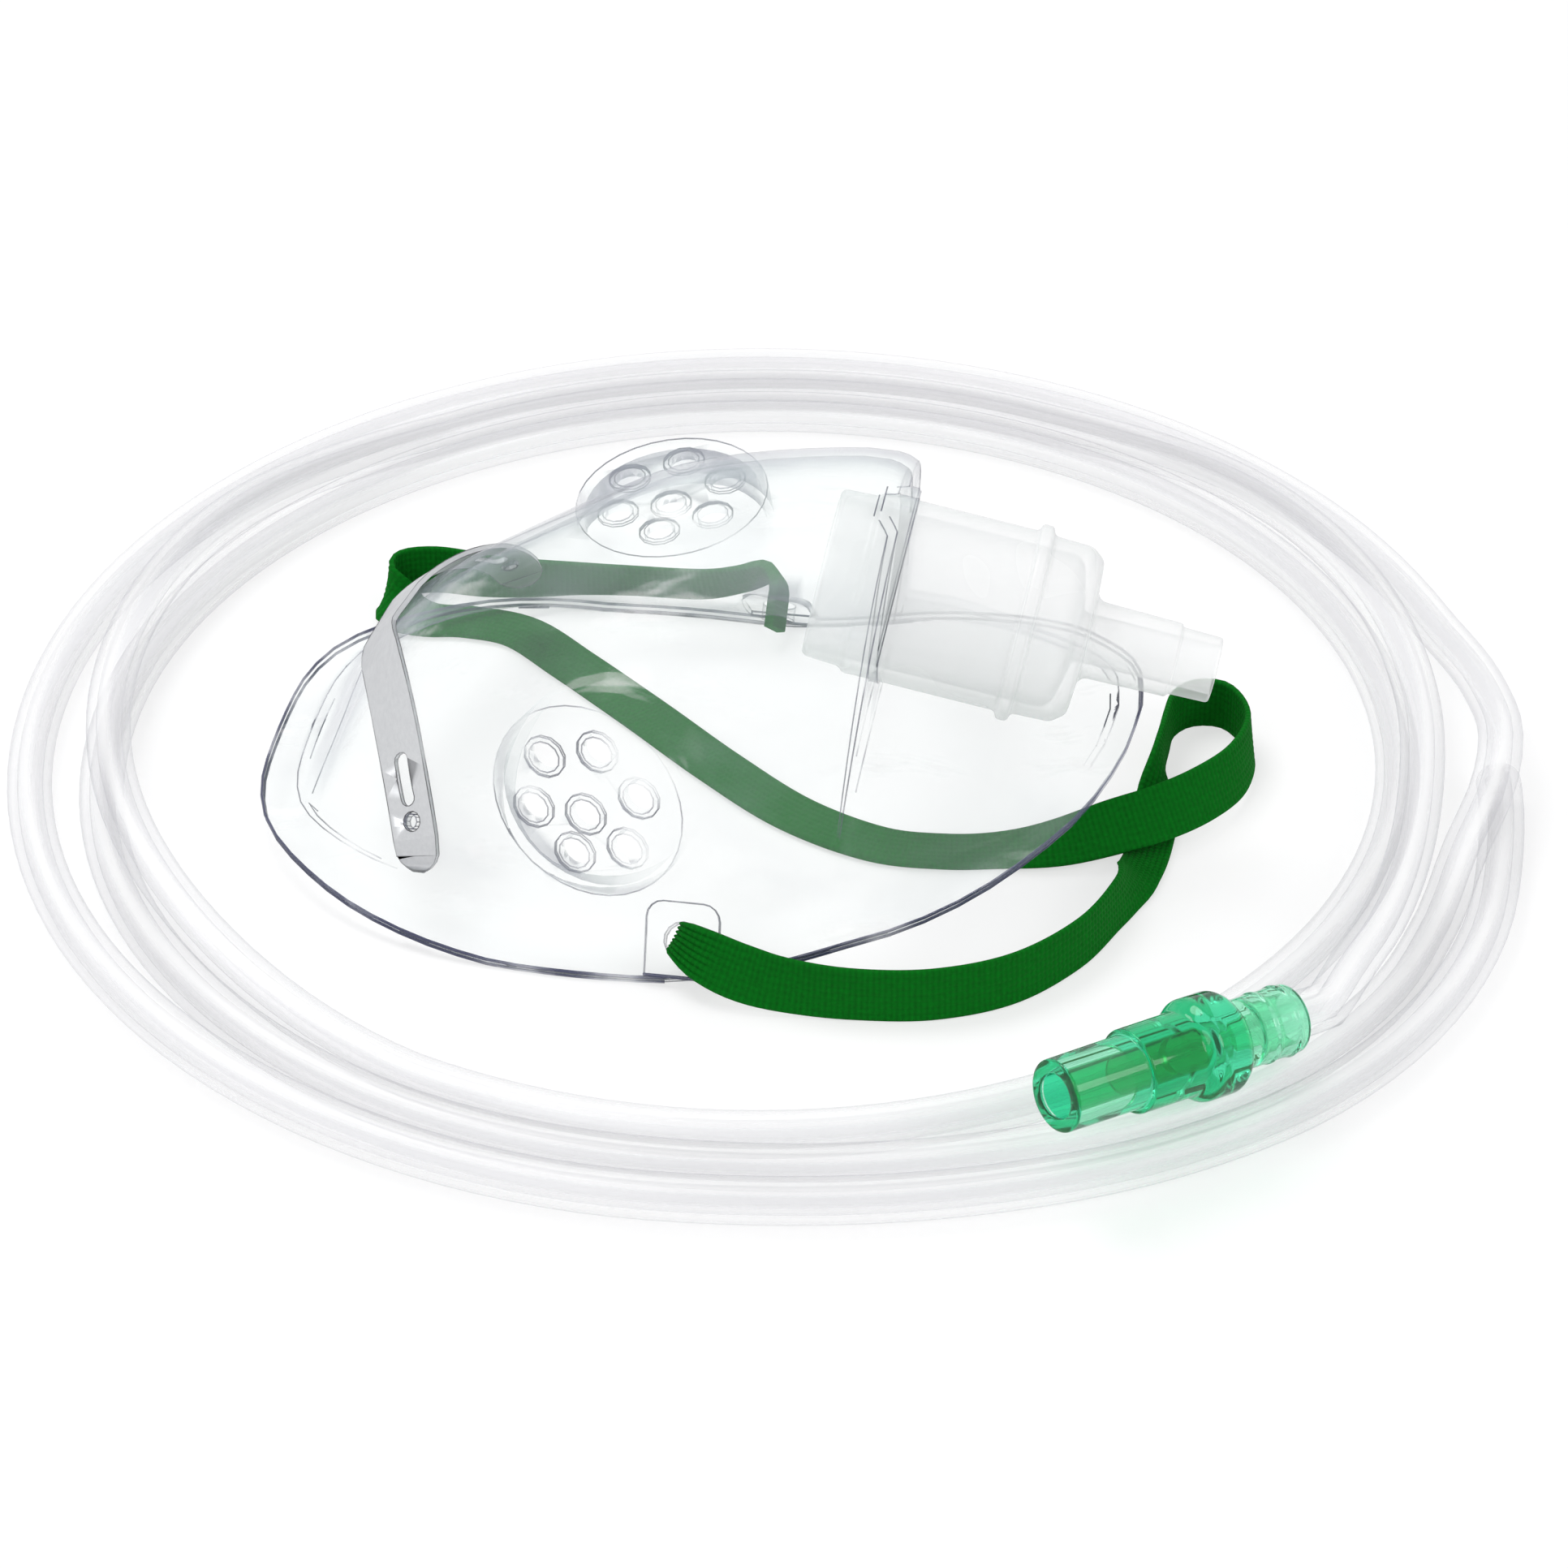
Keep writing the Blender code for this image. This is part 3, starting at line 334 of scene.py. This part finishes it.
SEEN = ("Is Camera Ray", "Is Glossy Ray", "Is Transmission Ray")


def floor_white():
    """White table that keeps a part of its shadows."""
    f = new_finish("table_white")
    cloth = f.node("ShaderNodeBsdfDiffuse", {}, {"Color": (0.97, 0.97, 0.97, 1)})
    glow = f.node("ShaderNodeEmission", {}, {"Color": (1, 1, 1, 1), "Strength": 1.0})
    return f.close(f.mixed(f.rays(*SEEN) * 0.62, cloth, glow))


def soft_room(fill, back):
    """World: even light of the given strength, and the backdrop's colour where it is seen."""
    f = Finish(bpy.data.worlds.new("soft_room"))
    even = f.node("ShaderNodeBackground", {}, {"Color": (0.985, 0.985, 1.0, 1.0), "Strength": fill})
    white = f.node("ShaderNodeBackground", {}, {"Color": (*back, 1.0)})
    return f.close(f.mixed(f.rays(*SEEN), even, white), "World")


def eased(points, x):
    """Smooth value at x through (x, value) points."""
    i = 0
    while i < len(points) - 2 and x > points[i + 1][0]:
        i += 1

    def slope(k):
        lo, hi = max(k - 1, 0), min(k + 1, len(points) - 1)
        if lo == k or hi == k:
            return (points[hi][1] - points[lo][1]) / (points[hi][0] - points[lo][0])
        a = (points[k][1] - points[lo][1]) / (points[k][0] - points[lo][0])
        b = (points[hi][1] - points[k][1]) / (points[hi][0] - points[k][0])
        wa = points[hi][0] - points[k][0]
        wb = points[k][0] - points[lo][0]
        return (a * wa + b * wb) / (wa + wb)

    h = points[i + 1][0] - points[i][0]
    t = min(max((x - points[i][0]) / h, 0.0), 1.0)
    return ((2 * t ** 3 - 3 * t ** 2 + 1) * points[i][1] + (t ** 3 - 2 * t ** 2 + t) * h * slope(i)
            + (3 * t ** 2 - 2 * t ** 3) * points[i + 1][1] + (t ** 3 - t ** 2) * h * slope(i + 1))


def through(rows, pitch):
    """Evenly spaced rows on a smooth curve through rows of numbers, by the length of their first three."""
    ends = [tuple(2 * a - b for a, b in zip(rows[0], rows[1]))] + list(rows)
    ends.append(tuple(2 * a - b for a, b in zip(rows[-1], rows[-2])))
    fine = []
    for i in range(1, len(ends) - 2):
        for k in range(20):
            t = k / 20
            fine.append([0.5 * (2 * b + (c - a) * t + (2 * a - 5 * b + 4 * c - d) * t * t
                                + (3 * b - a - 3 * c + d) * t ** 3)
                         for a, b, c, d in zip(*ends[i - 1:i + 3])])
    fine.append(list(rows[-1]))
    run = [0.0]
    for a, b in zip(fine, fine[1:]):
        run.append(run[-1] + (Vector(b[:3]) - Vector(a[:3])).length)
    count = max(int(round(run[-1] / pitch)), 2)
    out, j = [], 0
    for k in range(count + 1):
        want = run[-1] * k / count
        while j < len(run) - 2 and run[j + 1] < want:
            j += 1
        t = (want - run[j]) / max(run[j + 1] - run[j], 1e-12)
        out.append([a + (b - a) * t for a, b in zip(fine[j], fine[j + 1])])
    return out


def coil_path(step, inside):
    """Middle line of the supply tube from its end inside the connector on, in steps of so many degrees."""
    start = CONN_OPEN + CONN_AXIS * (CONN_LONG - inside)
    lead = CONN_OPEN + CONN_AXIS * (CONN_LONG + TUBE_LEAD)
    away = lead - COIL_MIDDLE
    keys = [(math.degrees(math.atan2(away.y, away.x)), Vector((away.x, away.y)).length, away.z)] + START_TURN
    for a, r, t in UNDER_TURN:
        t = math.radians(t)
        keys.append((a, r + LAY * math.cos(t), FLOOR_LAY + LAY * math.sin(t)))
    keys += [(a, r, FLOOR_LAY) for a, r in INNER_TURN]
    keys += [(a + 360, r, FLOOR_LAY) for a, r, _ in UNDER_TURN]
    keys += [(a + 360, r - LAY, FLOOR_LAY) for a, r in OUTER_SWELL]
    keys += OVER_HUMP + [(a + 720, r, FLOOR_LAY) for a, r in OUTER_SWELL] + COIL_END
    radii = [(k[0], k[1]) for k in keys]
    heights = [(k[0], k[2]) for k in keys]
    line = [start.lerp(lead, k / 4) for k in range(4)] + [lead]
    a = keys[0][0] + step
    while a < COIL_END[-1][0] - step / 2:
        line.append(a)
        a += step
    line.append(COIL_END[-1][0])
    out = []
    for p in line:
        if not isinstance(p, Vector):
            turn = math.radians(p)
            r = eased(radii, p)
            height = max(eased(heights, p), FLOOR_LAY)
            p = COIL_MIDDLE + Vector((r * math.cos(turn), r * math.sin(turn), height))
        out.append(p)
    return out


def frames_along(points, rolls=None):
    """Matrix at each point: X across, Y outward, Z along the line."""
    out = []
    for i, p in enumerate(points):
        ahead = (points[min(i + 1, len(points) - 1)] - points[max(i - 1, 0)]).normalized()
        level = Vector((0, 0, 1)).cross(ahead).normalized()
        up = ahead.cross(level)
        roll = rolls[i] if rolls else 0.0
        across = level * math.cos(roll) + up * math.sin(roll)
        out.append(Matrix((across, ahead.cross(across), ahead)).transposed().to_4x4())
        out[-1].translation = p
    return out


def draw_along(bm, section, places, capped=True):
    """Pulls a closed section of (x, y) points through the places, noting each point's place in its map."""
    layers = bm.verts.layers.float
    along, around = (layers.get(name) or layers.new(name) for name in ("along", "around"))
    ring = [bm.verts.new(places[0] @ Vector((x, y, 0))) for x, y in section]
    for k, v in enumerate(ring):
        v[around] = k / len(ring)
    edges = [bm.edges.new((a, b)) for a, b in zip(ring, ring[1:] + ring[:1])]
    first, gone = edges, 0.0
    for here, after in zip(places, places[1:]):
        gone += (after.translation - here.translation).length
        pulled = bmesh.ops.extrude_edge_only(bm, edges=edges)["geom"]
        edges = [g for g in pulled if isinstance(g, bmesh.types.BMEdge)]
        verts = [g for g in pulled if isinstance(g, bmesh.types.BMVert)]
        bmesh.ops.transform(bm, matrix=after @ here.inverted(), verts=verts)
        for v in verts:
            v[along] = gone
    if capped:
        for rim in (first, edges):
            bmesh.ops.contextual_create(bm, geom=rim)
    return first, edges


def map_surface(bm):
    """Map of the piece: around its section, and metres along it."""
    along = bm.verts.layers.float["along"]
    around = bm.verts.layers.float["around"]
    uv = bm.loops.layers.uv.new("weave")
    for face in bm.faces:
        low = min(loop.vert[around] for loop in face.loops)
        for loop in face.loops:
            u = loop.vert[around]
            high = max(other.vert[around] for other in face.loops)
            loop[uv].uv = (u + 1.0 if high - low > 0.5 and u < 0.5 else u, loop.vert[along])


def put(name, bm, finish, crease=40.0):
    """Finished piece at the origin, facing outward and smooth up to the crease angle."""
    bmesh.ops.recalc_face_normals(bm, faces=bm.faces)
    mesh = bpy.data.meshes.new(name)
    bm.to_mesh(mesh)
    bm.free()
    piece = bpy.data.objects.new(name, mesh)
    bpy.context.scene.collection.objects.link(piece)
    for face in mesh.polygons:
        face.use_smooth = True
    mesh.set_sharp_from_angle(angle=math.radians(crease))
    mesh.materials.append(finish)
    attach(piece, "root")
    return piece


def copy_node(name, node, finish, crease=40.0):
    """Smooth copy of a solid with its loose triangles joined."""
    bm = bmesh.new()
    bm.from_mesh(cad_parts[node].data)
    bmesh.ops.remove_doubles(bm, verts=bm.verts, dist=2e-6)
    bmesh.ops.dissolve_degenerate(bm, edges=bm.edges, dist=1e-6)
    piece = put(name, bm, finish, crease)
    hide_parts(node)
    return piece


def edge_lines(name, mesh, keep, radius, finish):
    """Thin round bead along the crisp edges of a mesh that keep picks."""
    bm = bmesh.new()
    bm.from_mesh(mesh)
    crisp = {e for e in bm.edges if len(e.link_faces) == 2 and keep(e, math.degrees(e.calc_face_angle(0.0)))}
    bmesh.ops.delete(bm, geom=bm.faces[:], context="FACES_ONLY")
    bmesh.ops.delete(bm, geom=[e for e in bm.edges if e not in crisp], context="EDGES")
    bmesh.ops.delete(bm, geom=[v for v in bm.verts if not v.link_edges], context="VERTS")
    wire = bpy.data.meshes.new(name + "_line")
    bm.to_mesh(wire)
    bm.free()
    line = bpy.data.objects.new(name + "_line", wire)
    bpy.context.scene.collection.objects.link(line)
    with bpy.context.temp_override(active_object=line, object=line, selected_objects=[line],
                                   selected_editable_objects=[line]):
        bpy.ops.object.convert(target="CURVE")
    line.data.bevel_depth = radius
    line.data.bevel_resolution = 1
    line.data.use_fill_caps = True
    bm = bmesh.new()
    bm.from_mesh(line.to_mesh())
    bpy.data.objects.remove(line, do_unlink=True)
    return put(name, bm, finish, 60.0)


def spun(bm, origin, axis, profile, steps):
    """Turned body: a profile of (distance, radius) points spun about an axis."""
    axis = axis.normalized()
    side = axis.cross(Vector((0, 0, 1))).normalized()
    verts = [bm.verts.new(origin + axis * d + side * r) for d, r in profile]
    edges = [bm.edges.new((a, b)) for a, b in zip(verts, verts[1:])]
    if tuple(profile[0]) == tuple(profile[-1]):
        bmesh.ops.remove_doubles(bm, verts=[verts[0], verts[-1]], dist=1e-7)
        edges = [e for e in edges if e.is_valid]
        verts = [v for v in verts if v.is_valid]
    bmesh.ops.spin(bm, geom=verts + edges, cent=origin, axis=axis, angle=2 * math.pi, steps=steps,
                   use_merge=True)
    bmesh.ops.remove_doubles(bm, verts=bm.verts, dist=1e-6)


def rounded(profile, size, steps=4):
    """Closed profile with each corner eased by an arc of about the given size."""
    out = []
    n = len(profile)
    for i, p in enumerate(profile):
        a, b, c = Vector(profile[i - 1]), Vector(p), Vector(profile[(i + 1) % n])
        cut = min(size, 0.45 * (a - b).length, 0.45 * (c - b).length)
        if (b - a).angle(c - b, 0.0) < math.radians(8) or p[1] <= 1e-9:
            out.append(tuple(b))
            continue
        u, v = b + (a - b).normalized() * cut, b + (c - b).normalized() * cut
        for k in range(steps + 1):
            t = k / steps
            out.append(tuple(u * (1 - t) ** 2 + b * 2 * t * (1 - t) + v * t ** 2))
    return out + [out[0]]


class TubeSizes(bpy.types.PropertyGroup):
    """Supply tube."""
    diameter: FloatProperty(name="Diameter", description="Outer diameter of the supply tube", default=0.0072,
                            min=0.003, max=0.02, unit="LENGTH")
    step: FloatProperty(name="Step", description="Degrees of coil between two rings of the tube", default=2.5,
                        min=1.0, max=15.0)
    ribs: IntProperty(name="Bore ribs", description="Ribs inside the tube's bore", default=5, min=3, max=9)


class StrapSizes(bpy.types.PropertyGroup):
    """Elastic strap."""
    cords: IntProperty(name="Cords", description="Cords side by side in the elastic", default=8, min=4,
                       max=14)
    pitch: FloatProperty(name="Pitch", description="Distance between two rows of the ribbon", default=0.0016,
                         min=0.0005, max=0.006, unit="LENGTH")


class StageLook(bpy.types.PropertyGroup):
    """Stage, lamps and camera."""
    lens: FloatProperty(name="Lens", description="Focal length of the camera", default=120.4, min=20.0,
                        max=300.0)
    fill: FloatProperty(name="Fill", description="Strength of the even light from all round", default=0.52,
                        min=0.0, max=2.0)
    key: FloatProperty(name="Key lamp", description="Power of the main soft lamp", default=4.6, min=0.0,
                       max=100.0, unit="POWER")
    back: FloatVectorProperty(name="Backdrop", description="Colour behind the mask", default=(1.0, 1.0, 1.0),
                              subtype="COLOR", min=0.0, max=1.0)


class OXYMASK_OT_stage(bpy.types.Operator):
    """Camera, soft lamps, world and white table"""
    bl_idname = "oxymask.stage"
    bl_label = "Set up the table"

    def execute(self, context):
        look = context.scene.oxymask_stage
        data = bpy.data.cameras.new("camera")
        data.lens = look.lens
        data.sensor_width = 36.0
        data.clip_start = 0.05
        data.clip_end = 20.0
        camera = bpy.data.objects.new("camera", data)
        camera.location = CAMERA_AT
        camera.rotation_euler = (CAMERA_AIM - CAMERA_AT).to_track_quat("-Z", "Y").to_euler()
        context.scene.collection.objects.link(camera)
        context.scene.camera = camera

        lamps = [("key_lamp", (-0.35, 0.25, 0.85), 0.55, look.key),
                 ("side_lamp", (0.75, -0.35, 0.6), 0.45, look.key * 0.5),
                 ("front_lamp", (-0.3, -0.8, 0.7), 0.6, look.key * 0.55)]
        for name, at, size, power in lamps:
            lamp = bpy.data.lights.new(name, "AREA")
            lamp.shape = "DISK"
            lamp.size = size
            lamp.energy = power
            ob = bpy.data.objects.new(name, lamp)
            ob.location = at
            ob.rotation_euler = (-Vector(at)).to_track_quat("-Z", "Y").to_euler()
            context.scene.collection.objects.link(ob)

        context.scene.world = soft_room(look.fill, look.back)

        bm = bmesh.new()
        bmesh.ops.create_grid(bm, x_segments=1, y_segments=1, size=3.0)
        mesh = bpy.data.meshes.new("table")
        bm.to_mesh(mesh)
        bm.free()
        mesh.materials.append(floor_white())
        table = bpy.data.objects.new("table", mesh)
        table.location = (0, 0, -0.0001)
        context.scene.collection.objects.link(table)
        context.scene.view_settings.view_transform = "Standard"
        return {"FINISHED"}


class OXYMASK_OT_tube(bpy.types.Operator):
    """Clear supply tube in its coil"""
    bl_idname = "oxymask.tube"
    bl_label = "Coil the supply tube"

    def execute(self, context):
        sizes = context.scene.oxymask_tube
        radius = sizes.diameter / 2
        path = coil_path(sizes.step, TUBE_INSIDE)
        places = frames_along(path)
        ring = [2 * math.pi * k / 32 for k in range(32)]
        bm = bmesh.new()
        outer = draw_along(bm, [(radius * math.cos(a), radius * math.sin(a)) for a in ring], places, False)
        star = [BORE_RADIUS + RIB_HEIGHT * math.cos(sizes.ribs * a) for a in ring]
        inner = draw_along(bm, [(r * math.cos(a), r * math.sin(a)) for r, a in zip(star, ring)], places,
                           False)
        for a, b in zip(outer, inner):
            bmesh.ops.bridge_loops(bm, edges=a + b)
        map_surface(bm)
        tube = put("supply_tube_clear", bm, clear_tube(), 60.0)
        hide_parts("supply_tube")
        length = sum((b - a).length for a, b in zip(path, path[1:]))
        return {"FINISHED"}


class OXYMASK_OT_tube_connector(bpy.types.Operator):
    """Green push-on connector with the tube's end inside it"""
    bl_idname = "oxymask.tube_connector"
    bl_label = "Make the green connector"

    def execute(self, context):
        # In millimetres, outside from the open end to the rear, then back by the tube's seat and the bore.
        mm = [(0, 3.35), (0, 5.5), (13.4, 5.6), (13.5, 6.4), (23.4, 6.45), (24.1, 7.1), (25.2, 7.85),
              (30.2, 7.85), (31.4, 7.1), (32.1, 5.35), (37.4, 5.3), (38.0, 5.6), (38.6, 5.3), (41.4, 5.3),
              (42.0, 5.6), (42.6, 5.3), (44.0, 5.25), (44.0, 3.75), (36.2, 3.75), (36.2, 2.3), (30.0, 2.3),
              (27.0, 3.3)]
        bm = bmesh.new()
        spun(bm, CONN_OPEN, CONN_AXIS, rounded([(d * MM, r * MM) for d, r in mm], 0.0005), 64)
        clear = green_plastic("green_clear_finish", (0.36, 0.90, 0.62), (0.05, 0.58, 0.29))
        deep = green_plastic("green_deep_finish", (0.01, 0.54, 0.22), (0.0, 0.28, 0.10))
        piece = put("green_connector", bm, clear, 45.0)
        piece.data.materials.append(deep)
        for face in piece.data.polygons:
            along = (face.center - CONN_OPEN).dot(CONN_AXIS)
            if DEEP_GREEN[0] < along < DEEP_GREEN[1] or along < 0.0004:
                face.material_index = 1
        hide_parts("tube_connector")
        return {"FINISHED"}


class OXYMASK_OT_port(bpy.types.Operator):
    """Frosted port connector in the front wall"""
    bl_idname = "oxymask.port"
    bl_label = "Make the port connector"

    def execute(self, context):
        # In millimetres, outside from the end in the mask to the spigot's, then back by the bore.
        mm = [(-9.4, 12.3), (-9.4, 12.9), (-8.8, 13.4), (-3.4, 13.7), (-2.6, 14.5), (22.0, 14.5),
              (22.4, 15.7), (24.2, 15.7), (24.6, 14.3), (30.8, 14.1), (33.0, 12.4), (33.4, 7.0),
              (34.3, 6.15), (47.2, 5.9), (47.6, 5.35), (54.0, 5.2), (54.0, 3.9), (32.0, 3.9),
              (30.4, 10.8), (29.0, 12.3)]
        bm = bmesh.new()
        spun(bm, PORT_AT, PORT_AXIS, rounded([(d * MM, r * MM) for d, r in mm], 0.0008), 96)
        piece = put("frosted_connector", bm, frosted_plastic(), 45.0)
        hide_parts("port_connector")
        return {"FINISHED"}


class Outline:
    """How far a moulding reaches in plan, looked at from a point inside it."""
    SLOTS = 360
    MIDDLE_X = -0.01
    RIM_SLACK = 0.0006

    def __init__(self, mesh):
        reach = [0.0] * self.SLOTS
        for edge in mesh.edges:
            a, b = (mesh.vertices[k].co for k in edge.vertices)
            for k in range(9):
                co = a.lerp(b, k / 8)
                slot = self.slot(co)
                reach[slot] = max(reach[slot], self.far(co))
        self.reach = [min(reach[k - 1], reach[k], reach[(k + 1) % self.SLOTS]) for k in range(self.SLOTS)]

    def slot(self, co):
        turn = math.atan2(co.y, co.x - self.MIDDLE_X) / (2 * math.pi) + 0.5
        return int(turn * self.SLOTS) % self.SLOTS

    def far(self, co):
        return math.hypot(co.x - self.MIDDLE_X, co.y)

    def inside(self, co):
        """Distance from the outline inward."""
        return self.reach[self.slot(co)] - self.far(co)

    def holds(self, edge):
        return all(self.inside(v.co) < self.RIM_SLACK for v in edge.verts)


def in_a_boss(co):
    """Whether a point lies in a vent boss, behind its face."""
    for face, out in BOSSES:
        off = co - face
        deep = off.dot(out)
        if off.length < 0.030 and (off - out * deep).length < BOSS_REACH and deep < -0.0009:
            return True
    return False


class OXYMASK_OT_shell(bpy.types.Operator):
    """Clear vinyl mask moulding with dark lines of painted shade along its edges"""
    bl_idname = "oxymask.shell"
    bl_label = "Dress the mask moulding"

    def execute(self, context):
        piece = copy_node("vinyl_moulding", "mask_shell", clear_vinyl(), 38.0)
        outline = Outline(piece.data)

        def on_rim(edge, angle):
            return angle > 34 and outline.holds(edge)

        def elsewhere(edge, angle):
            middle = (edge.verts[0].co + edge.verts[1].co) / 2
            front_wall = middle.z > 0.040 and middle.x > 0.012
            wall_foot = middle.x > 0.010 and middle.z < 0.022 and outline.inside(middle) > 0.003
            if in_a_boss(middle) or wall_foot or on_rim(edge, angle):
                return False
            return angle > (20 if front_wall else 34)

        # Dark lines of painted shade along the rim and along the other crisp edges, outside the bosses and the
        # wall's foot.
        edge_lines("rim_shade", piece.data, on_rim, 0.00026,
                   painted_edge_line("rim_shade_finish", (0.05, 0.055, 0.11), 0.25, 0.95))
        edge_lines("moulding_shade", piece.data, elsewhere, 0.00012,
                   painted_edge_line("moulding_shade_finish", (0.15, 0.155, 0.20), 0.05, 0.52))
        return {"FINISHED"}


class OXYMASK_OT_clip(bpy.types.Operator):
    """Aluminium nose clip"""
    bl_idname = "oxymask.clip"
    bl_label = "Dress the nose clip"

    def execute(self, context):
        strip = copy_node("aluminium_strip", "nose_clip", clip_metal(), 35.0)
        # Dark lines of painted shade along the strip's crisp edges.
        edge_lines("strip_shade", strip.data, lambda edge, angle: angle > 40, 0.00008,
                   painted_edge_line("strip_shade_finish", (0.10, 0.10, 0.11), 0.25, 0.8))
        return {"FINISHED"}


class OXYMASK_OT_strap(bpy.types.Operator):
    """Woven elastic strap"""
    bl_idname = "oxymask.strap"
    bl_label = "Weave the elastic strap"

    def execute(self, context):
        sizes = context.scene.oxymask_strap
        rows = [(x * MM, y * MM, z * MM, roll, w * MM, t * MM) for x, y, z, roll, w, t in STRAP_ROUTE]
        line = through(rows, sizes.pitch)
        points = [Vector(row[:3]) + SHIFT for row in line]
        turned = frames_along(points, [math.radians(row[3]) for row in line])
        places = [place @ Matrix.Diagonal((row[4], row[5], 1.0, 1.0)) for place, row in zip(turned, line)]
        n = sizes.cords * 4
        top = [(1 - 2 * k / n, 0.62 + 0.38 * abs(math.sin(math.pi * sizes.cords * k / n)))
               for k in range(n + 1)]
        section = top + [(-x, -y) for x, y in top]
        bm = bmesh.new()
        draw_along(bm, section, places)
        map_surface(bm)
        strap = put("woven_elastic", bm, green_elastic(), 70.0)
        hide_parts("elastic_strap")
        return {"FINISHED"}


class OXYMASK_PT_panel(bpy.types.Panel):
    """Pieces of the oxygen mask"""
    bl_idname = "OXYMASK_PT_panel"
    bl_label = "Oxygen mask"
    bl_space_type = "VIEW_3D"
    bl_region_type = "UI"
    bl_category = "Oxygen mask"

    def draw(self, context):
        scene = context.scene
        for title, group in (("Supply tube", scene.oxymask_tube), ("Strap", scene.oxymask_strap),
                             ("Stage", scene.oxymask_stage)):
            box = self.layout.box()
            box.label(text=title)
            for name in group.__annotations__:
                box.prop(group, name)
        for step in STEPS:
            self.layout.operator(step.bl_idname)


STEPS = (OXYMASK_OT_stage, OXYMASK_OT_tube_connector, OXYMASK_OT_tube, OXYMASK_OT_strap, OXYMASK_OT_port,
         OXYMASK_OT_shell, OXYMASK_OT_clip)
CLASSES = (TubeSizes, StrapSizes, StageLook) + STEPS + (OXYMASK_PT_panel,)


def register():
    for item in CLASSES:
        bpy.utils.register_class(item)
    bpy.types.Scene.oxymask_tube = PointerProperty(type=TubeSizes)
    bpy.types.Scene.oxymask_strap = PointerProperty(type=StrapSizes)
    bpy.types.Scene.oxymask_stage = PointerProperty(type=StageLook)


def unregister():
    del bpy.types.Scene.oxymask_stage
    del bpy.types.Scene.oxymask_strap
    del bpy.types.Scene.oxymask_tube
    for item in reversed(CLASSES):
        bpy.utils.unregister_class(item)


def main():
    register()
    bpy.ops.oxymask.stage()
    bpy.ops.oxymask.tube_connector()
    bpy.ops.oxymask.tube()
    bpy.ops.oxymask.strap()
    bpy.ops.oxymask.port()
    bpy.ops.oxymask.shell()
    bpy.ops.oxymask.clip()


if __name__ == "__main__":
    main()
